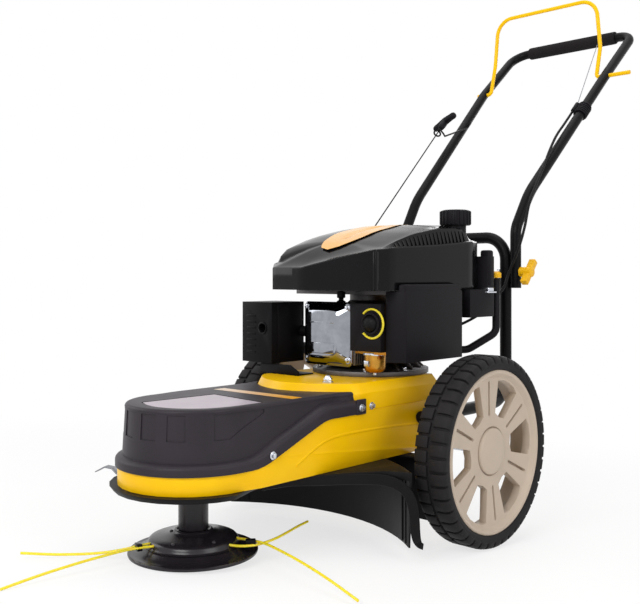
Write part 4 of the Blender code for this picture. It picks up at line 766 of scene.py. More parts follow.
COVER_FACE = DECK_HALF + 0.0033
for side, name in SIDES:
    screw = on_side(flange_screw("front_screw_" + name), side, 0.055, 0.215, COVER_FACE + 0.0003)
    settle(screw, "chassis", ZINC_PLATE, ["cover_screw_" + name])
    rear = on_side(flange_screw("rear_screw_" + name), side, 0.274, 0.268, COVER_FACE + 0.0012)
    settle(rear, "chassis", ZINC_PLATE)
    tab = block("cover_tab_" + name, (0.1304, 0.2630, 0.2560), (0.1344, 0.2875, 0.2832), 0.0014, 3)
    tab = moved(tab, Matrix.Diagonal((side, 1, 1, 1)))
    settle(tab, "chassis", SATIN_BLACK)
    third = on_side(flange_screw("deck_screw_" + name), side, 0.307, 0.268, DECK_HALF + 0.0003)
    settle(third, "chassis", ZINC_PLATE)
print("six flange screws in place")

# %% [markdown]
# ## Platform nuts
# Domed nuts hold the engine to the platform, and two of them show. A dome nut is a hexagon with a
# round cap, so a six-sided slab and a spun cap are joined.

# %% Platform nuts
def dome_nut(name):
    hexagon = slab("hexagon", [polar(0.0085, math.pi * i / 3) for i in range(6)], 0.0012, 0.0072)
    rounded(hexagon, 0.0006, 2)
    dome = lathe("dome", [(0.0068, 0.0065), (0.0062, 0.0095), (0.0042, 0.0122), (0, 0.0132)], 28)
    washer = lathe("washer", [(0, 0), (0.0105, 0), (0.0105, 0.0012), (0, 0.0012)], 28)
    return joined(name, washer, dome, hexagon)


for number, (x, y) in enumerate([(0.070, 0.255), (-0.070, 0.300)]):
    nut = moved(dome_nut("platform_nut_" + str(number + 1)), Matrix.Translation((x, y, 0.3102)))
    settle(nut, "chassis", ZINC_PLATE)
print("two dome nuts on the platform")

# %% [markdown]
# ## Tyres
# The tyre is moulded rubber with square blocks that run over the shoulder. A smooth carcass is
# spun first, a little lower than the tread. One block is drawn in section, given its width, and
# copied round both shoulders, half a step apart.

# %% Tyres
TYRE_RADIUS = 0.1778
BLOCKS = 44
carcass_line = there_and_back([(0.1523, -0.029), (0.1535, -0.0305), (0.1600, -0.0330),
                               (0.1660, -0.0325), (0.1712, -0.0270), (0.1736, -0.0150)])
block_line = [(0.1620, 0.0300), (0.1635, 0.0334), (0.1700, 0.0330), (0.1755, 0.0292),
              (TYRE_RADIUS, 0.0215), (TYRE_RADIUS, 0.0030), (0.1715, 0.0025), (0.1700, 0.0260)]


def tread_block(width):
    """One block: its section drawn in the plane of the axle and given its width round the tyre."""
    piece = drawn("tread", [(r, -width / 2, z) for r, z in block_line], (),
                  [list(range(len(block_line)))])
    in_edit(piece, lambda: bpy.ops.mesh.extrude_region_move(
        TRANSFORM_OT_translate={"value": (0, width, 0)}))
    return tidy(piece)


def make_tyre(name):
    carcass = lathe("carcass", carcass_line, 96, closed=True)
    pattern = rounded(tread_block(0.0200), 0.0012, 2)
    parts = [carcass]
    for side in (1, -1):
        for number in range(BLOCKS):
            spot = copy_of(pattern, "tread")
            if side < 0:
                moved(spot, Matrix.Diagonal((1, 1, -1, 1)))
            turn_by = 2 * math.pi * (number + (0.5 if side < 0 else 0.0)) / BLOCKS
            parts.append(moved(spot, Matrix.Rotation(turn_by, 4, "Z")))
    bpy.data.objects.remove(pattern)
    return joined(name, *parts[1:], carcass)


def on_axle(piece, side):
    turned = Matrix.Rotation(side * math.pi / 2, 4, "Y")
    return moved(piece, Matrix.Translation((side * WHEEL_X, AXLE_Y, AXLE_Z)) @ turned)


for side, name in SIDES:
    tyre = on_axle(make_tyre("tyre_" + name), side)
    settle(tyre, "wheel_" + name, TYRE_RUBBER, ["tyre_" + name])
print("two tyres with", 2 * BLOCKS, "tread blocks each")

# %% [markdown]
# ## Rims
# The rim is one beige moulding: a barrel, a dished web with six windows, and six broad spokes,
# each with a slot down its middle. Windows and slots are cut through a spun disc, which leaves the
# spokes standing, as in the mould. Rounded edges finish it.

# %% Rims
SPOKES = 6
FIRST_SPOKE = math.radians(5)
rim_line = [(0.0085, -0.029), (0.024, -0.029), (0.026, 0.0045), (0.060, 0.0015), (0.120, 0.0045),
            (0.1440, 0.0050), (0.1450, -0.029), (0.1516, -0.029), (0.1516, 0.0290),
            (0.1490, 0.0305), (0.1440, 0.0300), (0.1375, 0.0215), (0.1300, 0.0195), (0.060, 0.0165),
            (0.046, 0.0180), (0.044, 0.0140), (0.0085, 0.0140)]


def window_cutter(middle):
    """A trapezium with a rounded outer side, between two spokes."""
    corners = there_and_back([(0.071, -0.24), (0.100, -0.265), (0.1310, -0.275), (0.1345, -0.16)],
                             [(0.1350, 0.0)]) + [(0.066, 0.0)]
    return slab("window", [polar(r, middle + a) for r, a in corners], -0.04, 0.04)


def slot_cutter(angle):
    """The slot in the middle of a spoke, with round ends."""
    outline = [polar(0.0028, start + math.pi * i / 6, reach)
               for reach, start in ((0.068, math.pi / 2), (0.129, -math.pi / 2)) for i in range(7)]
    slot = slab("slot", outline, 0.009, 0.04)
    return moved(slot, Matrix.Rotation(angle, 4, "Z"))


def make_rim(name):
    rim = lathe(name, rim_line, 96, closed=True)
    for number in range(SPOKES):
        angle = FIRST_SPOKE + 2 * math.pi * number / SPOKES
        cut_with(rim, window_cutter(angle + math.pi / SPOKES), slot_cutter(angle))
    return rounded(rim, 0.0011, 2, 28)


for side, name in SIDES:
    rim = on_axle(make_rim("rim_" + name), side)
    settle(rim, "wheel_" + name, BEIGE_RIM, ["rim_" + name])
print("two rims with", SPOKES, "slotted spokes each")

# %% [markdown]
# ## Hub caps and axle
# A round press-in cap hides the axle nut. It is spun, slightly domed, with a groove round its
# foot.

# %% Hub caps and axle
cap_line = [(0, 0.0143), (0.0425, 0.0143), (0.0435, 0.0175), (0.0425, 0.0205), (0.0405, 0.0218),
            (0.034, 0.0226), (0.018, 0.0232), (0, 0.0234)]
for side, name in SIDES:
    cap = on_axle(lathe("hub_cap_" + name, cap_line, 64), side)
    settle(cap, "wheel_" + name, BEIGE_RIM, ["hub_cap_" + name])
dress("axle", "axle_bar", (0.0008, 2, 50), "chassis", ZINC_PLATE)
print("hub caps and axle in place")

# %% [markdown]
# ## Guard
# The guard is a moulded fan: a flat plate under the deck and a skirt that drops from its rear arc.
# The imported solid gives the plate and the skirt. Along its free sides runs a broad band, like the
# hem of a cap: rounded cross sections are set along the edge, from the waist over the corner down
# to the hooked foot, and bridged. A few thin ribs stiffen the skirt near its ends.

# %% Guard
GUARD_REAR = 0.370
guard = moved(cad_copy("guard_shield", "guard"), MACHINE.inverted())
for spot in guard.data.vertices:
    drop = 0.1640 - spot.co.z
    if spot.co.y < 0.100 and drop > 0.004:
        inward = 0.55 * drop / Vector((spot.co.x, spot.co.y)).length
        spot.co.x *= 1 - inward
        spot.co.y *= 1 - inward
        spot.co.z += 0.40 * drop
rounded(guard, 0.0012, 2, 40)
BAND = [(0.1035, 0.058, 0.1590, 0.0060), (0.1085, 0.118, 0.1575, 0.0068),
        (0.1330, 0.160, 0.1565, 0.0080), (0.1610, 0.211, 0.1550, 0.0088),
        (0.1920, 0.252, 0.1525, 0.0092), (0.2140, 0.270, 0.1460, 0.0092),
        (0.2300, 0.279, 0.1340, 0.0090), (0.2390, 0.2835, 0.1150, 0.0088),
        (0.2430, 0.2855, 0.0900, 0.0086), (0.2445, 0.2860, 0.0680, 0.0084),
        (0.2475, 0.2860, 0.0530, 0.0075), (0.2545, 0.2850, 0.0460, 0.0062),
        (0.2635, 0.2830, 0.0445, 0.0050)]
SECTION = [(-1.0, -0.5), (-0.93, -1.0), (0.93, -1.0), (1.0, -0.5), (1.0, 0.5), (0.93, 1.0),
           (-0.93, 1.0), (-1.0, 0.5)]


def side_band(side):
    """The band along one side of the fan: a rounded strip that keeps its face outward."""
    spots = flowing([Vector(station) for station in BAND], 4)
    loops, outward = [], Vector((1, 0, 0))
    for number, spot in enumerate(spots):
        before, after = spots[max(number - 1, 0)], spots[min(number + 1, len(spots) - 1)]
        way = (after - before).to_3d().normalized()
        flat = Vector((way.y, -way.x, 0))
        if flat.length > 0.45 and spot.z > 0.13:
            outward = flat.normalized()
        upward = outward.cross(way).normalized()
        loops.append([spot.to_3d() + upward * (u * spot.w) + outward * (v * 0.0019)
                      for u, v in SECTION])
    return moved(bridged("side_band", loops, True, True), Matrix.Diagonal((side, 1, 1, 1)))


def skirt_rib(angle):
    """A thin upright rib on the skirt's inner face."""
    a = math.radians(angle)
    reach = GUARD_REAR - 0.0030
    x, y = reach * math.sin(a), reach * math.cos(a)
    rib = block("rib", (-0.0011, -0.0022, 0.038), (0.0011, 0.0022, 0.161), 0.0006, 1)
    return moved(rib, Matrix.Translation((x, y, 0)) @ Matrix.Rotation(-a, 4, "Z"))


ribs = [skirt_rib(angle) for angle in (-36.3, -33.2, 33.2, 36.3)]
guard = joined("guard", side_band(1), side_band(-1), *ribs, guard)
settle(guard, "chassis", GUARD_BLACK, ["guard_shield"])
print("guard with", len(ribs), "ribs and two bands")

# %% [markdown]
# ## Rear flap and line cutter
# The flap is a sheet of rubber bolted under the deck. Rubber sheet is never quite flat, but the
# imported sheet is kept as it is, with rounded edges. The cutter is a bent strip of spring steel on
# the nose: its section is drawn from the side and given its width.

# %% Rear flap and line cutter
dress("rear_flap", "flap", (0.0009, 2, 50), "chassis", SHEATH_RUBBER)
blade = [(0.1244, 0.1662), (0.1390, 0.1662), (0.1480, 0.1745), (0.1620, 0.1765), (0.1790, 0.1675),
         (0.1797, 0.1690), (0.1625, 0.1785), (0.1470, 0.1765), (0.1380, 0.1682), (0.1244, 0.1682)]
cutter = rounded(slab_y("cutter", blade, -0.008, 0.008), 0.0004, 2, 25)
moved(cutter, Matrix.Rotation(math.radians(207), 4, "Z"))
settle(cutter, "chassis", PLAIN_STEEL, ["line_cutter"])
print("flap and cutter in place")

# %% [markdown]
# ## Spindle housing
# The housing is a short cast column with a bolting flange at the top. It is painted black, and its
# foot is drawn in where the seal sits.

# %% Spindle housing
housing = dress("spindle_housing", "housing", (0.0016, 3, 30), "chassis",
                HEAD_BLACK)
print("housing with", len(housing.data.polygons), "faces")

# %% [markdown]
# ## Glide disc
# The disc glides over the ground. It is spun as a shallow dish with a turned-up rim, and its
# middle rises to the head.

# %% Glide disc
disc_line = [(0, 0.0465), (0.060, 0.0460), (0.080, 0.0457), (0.092, 0.0452), (0.104, 0.0453),
             (0.1070, 0.0462), (0.1077, 0.0481), (0.1075, 0.0500), (0.1060, 0.0512),
             (0.1020, 0.0514), (0.0985, 0.0510), (0.0930, 0.0522), (0.0870, 0.0550),
             (0.0820, 0.0590), (0.0800, 0.0603), (0, 0.0603)]
disc = lathe("disc", disc_line, 96)
settle(disc, "head", HEAD_BLACK, ["glide_disc"])

# %% [markdown]
# ## Trimmer head
# The lines are clamped between a hub and an upper plate. From outside that is one low glossy dome:
# a collar round the column's foot, a gentle cone, a rounded shoulder and a flare down to the disc.
# It is spun in one outline. Small screws sit on the cone.

# %% Trimmer head
dome_line = [(0.009, 0.0607), (0.0790, 0.0607), (0.0800, 0.0612), (0.0772, 0.0622),
             (0.0755, 0.0640), (0.0745, 0.0670), (0.0735, 0.0698), (0.0710, 0.0722),
             (0.0670, 0.0738), (0.0560, 0.0755), (0.0450, 0.0772), (0.0380, 0.0790),
             (0.0335, 0.0806), (0.0322, 0.0830), (0.0310, 0.0846), (0.0290, 0.0850),
             (0.0272, 0.0846), (0.0266, 0.0826), (0.0205, 0.0815), (0.009, 0.0795)]
head = lathe("head_dome", dome_line, 96, closed=True)


def cap_screw(name, x, y, z, radius=0.0032):
    head_of = lathe("screw", [(0, z), (radius, z), (radius, z + 0.0018), (radius * 0.8, z + 0.0026),
                              (radius * 0.45, z + 0.0026), (radius * 0.4, z + 0.0012),
                              (0, z + 0.0012)], 20)
    return moved(head_of, Matrix.Translation((x, y, 0)))


small_screws = [cap_screw("screw", x, y, z, 0.0034)
                for x, y, z in ((0.023, -0.059, 0.0738), (0.062, -0.008, 0.0739),
                                (-0.026, -0.025, 0.0788), (-0.045, 0.040, 0.0748))]
head = joined("head_dome", *small_screws, head)
settle(head, "head", HEAD_BLACK, ["head_hub"], smooth=50)
print("disc and head ready")

# %% [markdown]
# ## Blower shroud: the form
# The shroud is the engine's large glossy cowl. Its walls stand upright, its front is folded along
# one upright crease, and its roof rises from a hard edge to the crown. The plan is drawn once, and
# rings of it are laid from the foot over the roof: each ring is the plan drawn in toward the
# middle line, with its height read from the crown line. Bridging the rings gives the skin.

# %% Shroud: plan, crown and rings
SHROUD_LOW = 0.477
PLAN = [(0.155, 0.330), (0.155, 0.470), (0.155, 0.600), (0.140, 0.640), (0.0, 0.6405),
        (-0.140, 0.640), (-0.155, 0.600), (-0.155, 0.470), (-0.155, 0.335), (-0.121, 0.299),
        (-0.030, 0.2855), (0.060, 0.2905), (0.1485, 0.2965)]
EDGE = [0.5545, 0.5625, 0.5735, 0.575, 0.580, 0.575, 0.5735, 0.5625, 0.5285, 0.5205,
        0.5205, 0.5375, 0.552]
CROWN = [(0.285, 0.536), (0.335, 0.560), (0.420, 0.592), (0.500, 0.6085), (0.575, 0.612),
         (0.620, 0.604), (0.641, 0.590)]


def divided(values, parts=7):
    """Puts extra points between the given ones, going round."""
    made = []
    for a, b in zip(values, values[1:] + values[:1]):
        for i in range(parts):
            t = i / parts
            made.append(tuple(p + (q - p) * t for p, q in zip(a, b)))
    return made


NEAR_EDGE = [(0.330, 0.5545), (0.470, 0.5625), (0.600, 0.5735)]
FAR_EDGE = [(0.335, 0.5285), (0.470, 0.5625), (0.600, 0.5735)]
STEEP_RISE = [(0.0, 0.0), (0.030, 0.01), (0.050, 0.02), (0.062, 0.10), (0.105, 0.70), (0.125, 0.76),
              (0.30, 0.90), (0.60, 0.98), (1.0, 1.0)]


def side_share(x, y):
    """One along both sides, where the louvres are, and zero at the nose and the rear."""
    front = min(max((y - 0.310) / 0.050, 0.0), 1.0) if abs(x) > 0.15 else 0.0
    rear = min(max((0.628 - y) / 0.040, 0.0), 1.0)
    share = front * rear
    return share * share * (3 - 2 * share)


def roof_spot(x, y, edge, inward):
    """A point of the roof: the plan point drawn inward by a share, at the roof's height."""
    spine = min(max(y, 0.375), 0.590)
    u, v = x * (1 - inward), y + (spine - y) * inward
    soft = 1 - (1 - inward) ** 2.3
    rise = soft + (between(STEEP_RISE, inward) - soft) * side_share(x, y)
    return u, v, edge + (between(CROWN, v) - edge) * rise


around = divided([(x, y, edge) for (x, y), edge in zip(PLAN, EDGE)])
rings = [[(x, y, SHROUD_LOW) for x, y, _ in around],
         [(x, y, edge - 0.0015) for x, y, edge in around]]
for inward, sink in ((0.010, -0.0012), (0.022, -0.0018), (0.034, -0.0010), (0.044, 0.0016),
                     (0.050, 0.0030), (0.058, 0.0030), (0.066, 0.0), (0.080, 0.0), (0.095, 0.0),
                     (0.106, -0.0014), (0.122, -0.0004), (0.150, 0.0), (0.20, 0.0), (0.26, 0.0),
                     (0.38, 0.0), (0.52, 0.0), (0.68, 0.0), (0.82, 0.0), (0.92, 0.0)):
    ring = []
    for x, y, edge in around:
        u, v, z = roof_spot(x, y, edge, inward)
        ring.append((u, v, z - sink * side_share(x, y)))
    rings.append(ring)
print(len(rings), "rings of", len(around), "points")

# %% [markdown]
# ## Blower shroud: the skin and its details
# The rings are bridged into one closed skin with its foot open, and the wall is given its
# thickness. Thin fins stand across the groove as louvres, a rib covers the seam at the near
# corner, and a bare decal in the maker's yellow lies on the roof, where only its outline is drawn.

# %% Shroud: skin, louvres, rib and decal
shroud = rounded(thickened(bridged("shroud", rings), 0.0022), 0.0012, 2, 26)


def louvre(side, y):
    """A thin web across the groove, square to the shroud's side."""
    edge = between(NEAR_EDGE if side > 0 else FAR_EDGE, y)
    section = [Vector(roof_spot(side * 0.155, y, edge, inward)) + Vector((out, 0, up))
               for inward, out, up in ((0.040, 0, -0.0005), (0.060, 0, -0.0045),
                                       (0.098, side * 0.0008, 0))]
    half = Vector((0, 0.0022, 0))
    points = [spot + way for way in (-half, half) for spot in section]
    return tidy(drawn("louvre", points, (), [(0, 1, 2), (5, 4, 3), (0, 3, 4, 1), (1, 4, 5, 2),
                                             (2, 5, 3, 0)]))


fins = [louvre(side, 0.360 + 0.0125 * number) for side in (1, -1) for number in range(19)]
seam = rounded(block("seam", (0.1440, 0.2930, 0.4775), (0.1500, 0.3035, 0.5480)), 0.0016, 2)
shroud = joined("shroud", seam, *fins, shroud)
settle(shroud, "chassis", GLOSS_BLACK, ["blower_shroud"], smooth=28)

DECAL_INK, tree, surface, place = new_material("printed_decal_yellow", Roughness=0.25,
                                               Coat_Weight=0.3)
two_tone(tree, surface, noise(tree, place, 9.0, 2.0), "#e59a25", "#f2bd5e")


def on_roof(x, y, lift=0.0008):
    """A point just above the skin, found by looking straight down at a place and round it."""
    heights = []
    for aside, back in ((0, 0), (0.006, 0), (-0.006, 0), (0, 0.006), (0, -0.006)):
        hit, place, _, _ = shroud.ray_cast(MACHINE @ Vector((x + aside, y + back, 0.9)),
                                           MACHINE.to_3x3() @ Vector((0, 0, -1)))
        if hit:
            heights.append((MACHINE.inverted() @ place).z)
    return x, y, max(heights) + lift


DECAL_START, DECAL_END = 0.330, 0.575


def decal_half(y):
    """Half the teardrop's width at a distance back."""
    t = (y - DECAL_START) / (DECAL_END - DECAL_START)
    return 0.074 * t ** 0.42 * (1 - t) ** 0.55 * 1.35 if 0 < t < 1 else 0.0


points = []
for i in range(31):
    y = DECAL_START + (DECAL_END - DECAL_START) * i / 30
    half = max(decal_half(y), 0.0006)
    points += [on_roof(half * (j / 6 - 1), y) for j in range(13)]
decal = thickened(drawn("decal", points, (), grid_faces(31, 13)), 0.0004)
settle(decal, "chassis", DECAL_INK)
print("shroud with", len(fins), "louvres")

# %% [markdown]
# ## Crankcase and cylinder
# Both are die cast aluminium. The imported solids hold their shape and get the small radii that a
# casting needs to leave its die. Bolts hold the flange to the platform, and a ribbed foot joins
# them.

# %% Crankcase and cylinder
ENGINE_Y = 0.460
dress("crankcase", "crankcase_casting", (0.0014, 2, 35), "chassis", CAST_METAL)
dress("cylinder", "finned_cylinder", (0.0007, 2, 35), "chassis", CAST_METAL)


def engine_bolt(angle):
    x, y = polar(0.106, math.radians(angle), 0.0, ENGINE_Y)
    bolt = flange_screw("engine_bolt", 0.0058, 0.0085, 0.0068)
    return moved(bolt, Matrix.Translation((x, y, 0.3193)))


bolts = joined("engine_bolts", *[engine_bolt(angle) for angle in (-125, -55, -12, 60, 120, 192)])
settle(bolts, "chassis", ZINC_PLATE)


def case_rib(angle):
    """A thin upright web between the flange and the case."""
    web = slab_y("web", [(0.068, 0.319), (0.108, 0.319), (0.108, 0.323), (0.073, 0.3565),
                         (0.068, 0.3565)], -0.0018, 0.0018)
    turned = Matrix.Rotation(math.radians(angle), 4, "Z")
    return moved(web, Matrix.Translation((0, ENGINE_Y, 0)) @ turned)


webs = rounded(joined("case_ribs", *[case_rib(angle) for angle in range(-40, 221, 20)]), 0.0006, 2)
settle(webs, "chassis", CAST_METAL)
print("castings with bolts and ribs")

# %% [markdown]
# ## Valve cover
# The rocker cover is pressed steel with bright chrome. It has a flat rim with a lug and a screw at
# each corner, wide chamfers and one raised field, which is left bare. Deep drawing gives such a
# shape in steps, so outlines are laid one over the other, from the rim to the field, and bridged.

# %% Valve cover
def across(piece, x, y, z):
    """Turns a piece that was drawn about Z so that it faces forward, at a place on the machine."""
    return moved(piece, Matrix.Translation((x, y, z)) @ Matrix.Rotation(math.pi / 2, 4, "X"))


ROCKER_LEFT, ROCKER_RIGHT, ROCKER_LOW, ROCKER_HIGH = -0.077, 0.047, 0.3285, 0.4535


def plate_corners(left, right, low, high, radius):
    """A rectangle in X and Z with round corners, four points to a corner."""
    spots = []
    left, right, low, high = left + radius, right - radius, low + radius, high - radius
    for x, z, start in ((right, high, 0.0), (left, high, 90.0), (left, low, 180.0),
                        (right, low, 270.0)):
        spots += [polar(radius, math.radians(start + 30 * i), x, z) for i in range(4)]
    return spots


def rocker_loop(y, left, right, ends, radius):
    """The cover's outline at a depth, drawn in from its left, its right and its ends."""
    spots = plate_corners(ROCKER_LEFT + left, ROCKER_RIGHT - right, ROCKER_LOW + ends,
                          ROCKER_HIGH - ends, radius)
    return [(x, y, z) for x, z in spots]


ROCKER_STEPS = [(0.3517, 0, 0, 0, 0.009), (0.3475, 0, 0, 0, 0.009),
                (0.3468, 0.0008, 0.0008, 0.0008, 0.009), (0.3465, 0.0045, 0.0045, 0.0045, 0.012),
                (0.3455, 0.0055, 0.0055, 0.0055, 0.013), (0.3345, 0.0160, 0.0215, 0.0135, 0.016),
                (0.3322, 0.0185, 0.0240, 0.0155, 0.016), (0.3312, 0.0220, 0.0275, 0.0190, 0.014),
                (0.3303, 0.0360, 0.0420, 0.0340, 0.010)]
rocker = bridged("rocker_cover", [rocker_loop(*step) for step in ROCKER_STEPS], True, True)
LUG_PLACES = [(x, z) for x in (-0.0680, 0.0385) for z in (0.3420, 0.4430)]
lug_line = [(0, 0), (0.0080, 0), (0.0080, 0.0052), (0.0072, 0.0062), (0, 0.0062)]
lugs = [across(lathe("lug", lug_line, 32), x, 0.3515, z) for x, z in LUG_PLACES]
field = rounded(block("field", (-0.0560, 0.3298, 0.3530), (0.0150, 0.3320, 0.3745)), 0.0009, 2)
ledge = rounded(block("ledge", (-0.0560, 0.3302, 0.4120), (0.0150, 0.3320, 0.4150)), 0.0008, 2)
rocker = joined("rocker_cover", field, ledge, *lugs, rocker)
settle(rocker, "chassis", CHROME, ["valve_cover"], smooth=50)
screws = [across(flange_screw("screw", 0.0040, 0.0058, 0.0048), x, 0.3453, z)
          for x, z in LUG_PLACES]
settle(joined("rocker_screws", *screws), "chassis", ZINC_PLATE)
print("rocker cover with four lugs and screws")

# %% [markdown]
# ## Muffler
# The muffler is a black steel box with a guard in front. A round outlet opens in its front face,
# and small louvres let the air through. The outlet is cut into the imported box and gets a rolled
# lip. A bent stay under it carries its weight to the platform.

# %% Muffler
MUFFLER_OUTLET = (-0.130, 0.280, 0.400)
muffler = moved(cad_copy("muffler", "muffler_box"), MACHINE.inverted())
outlet = across(lathe("outlet", [(0, -0.02), (0.0095, -0.02), (0.0095, 0.02), (0, 0.02)], 32),
                *MUFFLER_OUTLET)
cut_with(muffler, outlet)
rounded(muffler, 0.0020, 3, 30)
lip = across(lathe("lip", [(0.0095, -0.001), (0.0125, 0), (0.0125, 0.0012), (0.0105, 0.0018),
                           (0.0092, 0.001)], 32, closed=True), *MUFFLER_OUTLET)
louvres = [block("slat", (-0.176, 0.2788, 0.350 + 0.012 * i), (-0.150, 0.2812, 0.354 + 0.012 * i),
                 0.0009) for i in range(7)]
side_plate = block("side_plate", (-0.1040, 0.296, 0.338), (-0.1025, 0.366, 0.446), 0.0006)
muffler = joined("muffler", lip, side_plate, *louvres, muffler)
settle(muffler, "chassis", BLACK_COAT, ["muffler"])
stay_plan = [(-0.150, 0.3102), (-0.040, 0.3102), (-0.040, 0.3190), (-0.062, 0.3300),
             (-0.144, 0.3300)]
stay = rounded(slab_y("muffler_stay", stay_plan, 0.2890, 0.2925), 0.0010, 2)
foot = block("stay_foot", (-0.148, 0.2890, 0.3102), (-0.042, 0.3350, 0.3132), 0.0008)
settle(joined("muffler_stay", foot, stay), "chassis", BLACK_COAT)
dress("spark_plug", "plug_boot", (0.0006, 2, 30), "chassis", SHEATH_RUBBER)
print("muffler and plug boot in place")

# %% [markdown]
# ## Carburettor
# The carburettor is cast zinc with a yellow chromate coat. Its float bowl hangs below, with a
# bright rim and a drain screw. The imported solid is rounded, and the small fittings are spun and
# added.

# %% Carburettor
BOWL = (0.085, 0.371)
dress("carburettor", "carburettor_body", (0.0012, 2, 35), "chassis", YELLOW_ZINC)
bowl = lathe("float_bowl", [(0, 0.3205), (0.0120, 0.3205), (0.0170, 0.3225), (0.0200, 0.3265),
                            (0.0208, 0.3320), (0.0208, 0.3535), (0, 0.3535)], 56)
settle(moved(bowl, Matrix.Translation((*BOWL, 0))), "chassis", YELLOW_ZINC)
rim = lathe("bowl_rim", [(0.0190, 0.3535), (0.0232, 0.3535), (0.0238, 0.3552), (0.0232, 0.3578),
                         (0.0190, 0.3578)], 48, closed=True)
drain = lathe("drain", [(0, 0.3152), (0.0035, 0.3152), (0.0035, 0.3192), (0.0055, 0.3197),
                        (0.0055, 0.3220), (0, 0.3220)], 6)
nut = rounded(block("banjo", (-0.0055, -0.0265, 0.333), (0.0055, -0.0190, 0.344)), 0.0012, 2)
fittings = moved(joined("bowl_fittings", rim, drain, nut), Matrix.Translation((*BOWL, 0)))
settle(fittings, "chassis", ZINC_PLATE)
print("carburettor with its bowl fittings")

# %% [markdown]
# ## Primer and air filter
# The primer panel and the filter cover are satin plastic. A rubber bulb sits in the panel inside
# an open yellow ring, which is swept round the bulb and ends short on the far side. The filter
# cover keeps its imported shape with soft edges, and a rounded strip runs along its near side.

# %% Primer and air filter
LEMON = moulded("lemon_yellow_abs", "#dcc81e", "#e8d735", 0.35, 0.8)
PRIMER = (0.104, 0.415)
dress("primer_housing", "primer_panel", (0.0012, 2, 30), "chassis", CAP_BLACK)
bulb_line = [(0, 0.0075), (0.0158, 0.0075), (0.0158, 0.0150), (0.0150, 0.0185), (0.0128, 0.0222),
             (0.0095, 0.0246), (0.0050, 0.0259), (0, 0.0262)]
bulb = across(lathe("bulb", bulb_line, 48), PRIMER[0], 0.3512, PRIMER[1])
settle(bulb, "primer", SHEATH_RUBBER, ["primer_bulb"])
collar = across(lathe("collar", [(0.0164, 0), (0.0215, 0), (0.0215, 0.0022), (0.0200, 0.0036),
                                 (0.0172, 0.0036), (0.0164, 0.0028)], 48, closed=True),
                PRIMER[0], 0.3360, PRIMER[1])
settle(collar, "chassis", CAP_BLACK)
arc = [polar(0.0272, math.radians(138 - 276 * i / 40), PRIMER[0] + 0.003, PRIMER[1])
       for i in range(41)]
hoop = rod("open_ring", [(x, 0.3352, z) for x, z in arc], 0.0021, 3)
settle(hoop, "chassis", LEMON)
dress("air_filter_cover", "filter_cover", (0.0042, 4, 30), "chassis", CAP_BLACK)
crest_plan = [(0.1562, 0.3506), (0.1699, 0.3578), (0.1699, 0.5360), (0.1562, 0.5390)]
crest = slab("filter_crest", crest_plan, 0.440, 0.4885)
settle(rounded(crest, 0.0040, 4), "chassis", CAP_BLACK)
print("primer and filter cover in place")

# %% [markdown]
# ## Tank, filler and dipstick
# The tank hides under the shroud, and only its neck comes through. The cap is a fluted knob: its
# core is spun and thin ribs are set round it, as fingers need them. The dipstick's yellow head
# stands on the oil filler behind.

# %% Tank, cap and dipstick
FILLER = (0.118, 0.592)
FLUTES = 20
dress("fuel_tank", "tank", (0.0022, 3, 30), "chassis", CAP_BLACK)
cap_core = lathe("cap", [(0.0224, 0.6085), (0.0300, 0.6085), (0.0305, 0.6100), (0.0305, 0.6360),
                         (0.0290, 0.6385), (0.0250, 0.6398), (0.0100, 0.6400), (0, 0.6400),
                         (0, 0.6190), (0.0224, 0.6190)], 72)
flutes = [moved(block("flute", (0.0290, -0.0024, 0.6095), (0.0323, 0.0024, 0.6375), 0.0014),
                Matrix.Rotation(2 * math.pi * number / FLUTES, 4, "Z")) for number in range(FLUTES)]
fuel_cap = moved(joined("cap", *flutes, cap_core), Matrix.Translation((*FILLER, 0)))
settle(fuel_cap, "fuel_cap", CAP_BLACK, ["fuel_cap"])
dress("oil_fill_tube", "oil_filler", (0.0005, 1, 50), "chassis", CAP_BLACK, 60)
dress("oil_dipstick", "dipstick", (0.0008, 2, 30), "dipstick", YELLOW_KNOB)
shelf = block("rear_bracket", (0.128, 0.6300, 0.4690), (0.172, 0.6640, 0.4722), 0.0010)
tongue = block("tongue", (0.150, 0.6400, 0.4722), (0.168, 0.6600, 0.4800), 0.0016)
settle(joined("rear_bracket", tongue, shelf), "chassis", ZINC_PLATE)
rear_box = block("rear_box", (0.1440, 0.6425, 0.4840), (0.1680, 0.6600, 0.5580), 0.0050, 4)
settle(rear_box, "chassis", CAP_BLACK)
print("tank, cap and dipstick in place")

# %% [markdown]
# ## Handle tubes
# The handle is bent from steel tube: a lower frame welded to the deck, and an upper loop bolted to
# it. Each is one path with a bend radius at every corner, followed by a round section, which is
# what a tube bender does. Both halves mirror each other.

# %% Handle tubes
def mirrored(points):
    return list(points) + [(-x, y, z) for x, y, z in reversed(points)]


lower_points = mirrored([(0.1432, 0.440, 0.232), (0.1432, 0.620, 0.232), (0.127, 0.774, 0.232),
                         (0.127, 0.774, 0.590)])
lower_path = bent(lower_points, [0.06, 0.06, 0.05, 0.05, 0.06, 0.06], 12)
lower = rod("lower_frame", lower_path, 0.0127, 7)
settle(lower, "chassis", BLACK_COAT, ["lower_handle_frame"], smooth=50)
UPPER_X = 0.1520
upper_points = mirrored([(UPPER_X, 0.774, 0.478), (UPPER_X, 0.774, 0.608),
                         (UPPER_X + 0.024 * 0.1425, 0.826, 0.690), (0.176, 1.162, 1.003),
                         (0.176, 1.331, 1.141)])
upper_path = bent(upper_points, [0.05, 0.2, 0.3, 0.045, 0.045, 0.3, 0.2, 0.05], 12)
upper = rod("upper_handle", upper_path, 0.012, 7)
settle(upper, "upper_handle", BLACK_COAT, ["upper_handle"], smooth=50)
print("handle tubes with", len(lower_path) + len(upper_path), "path points")

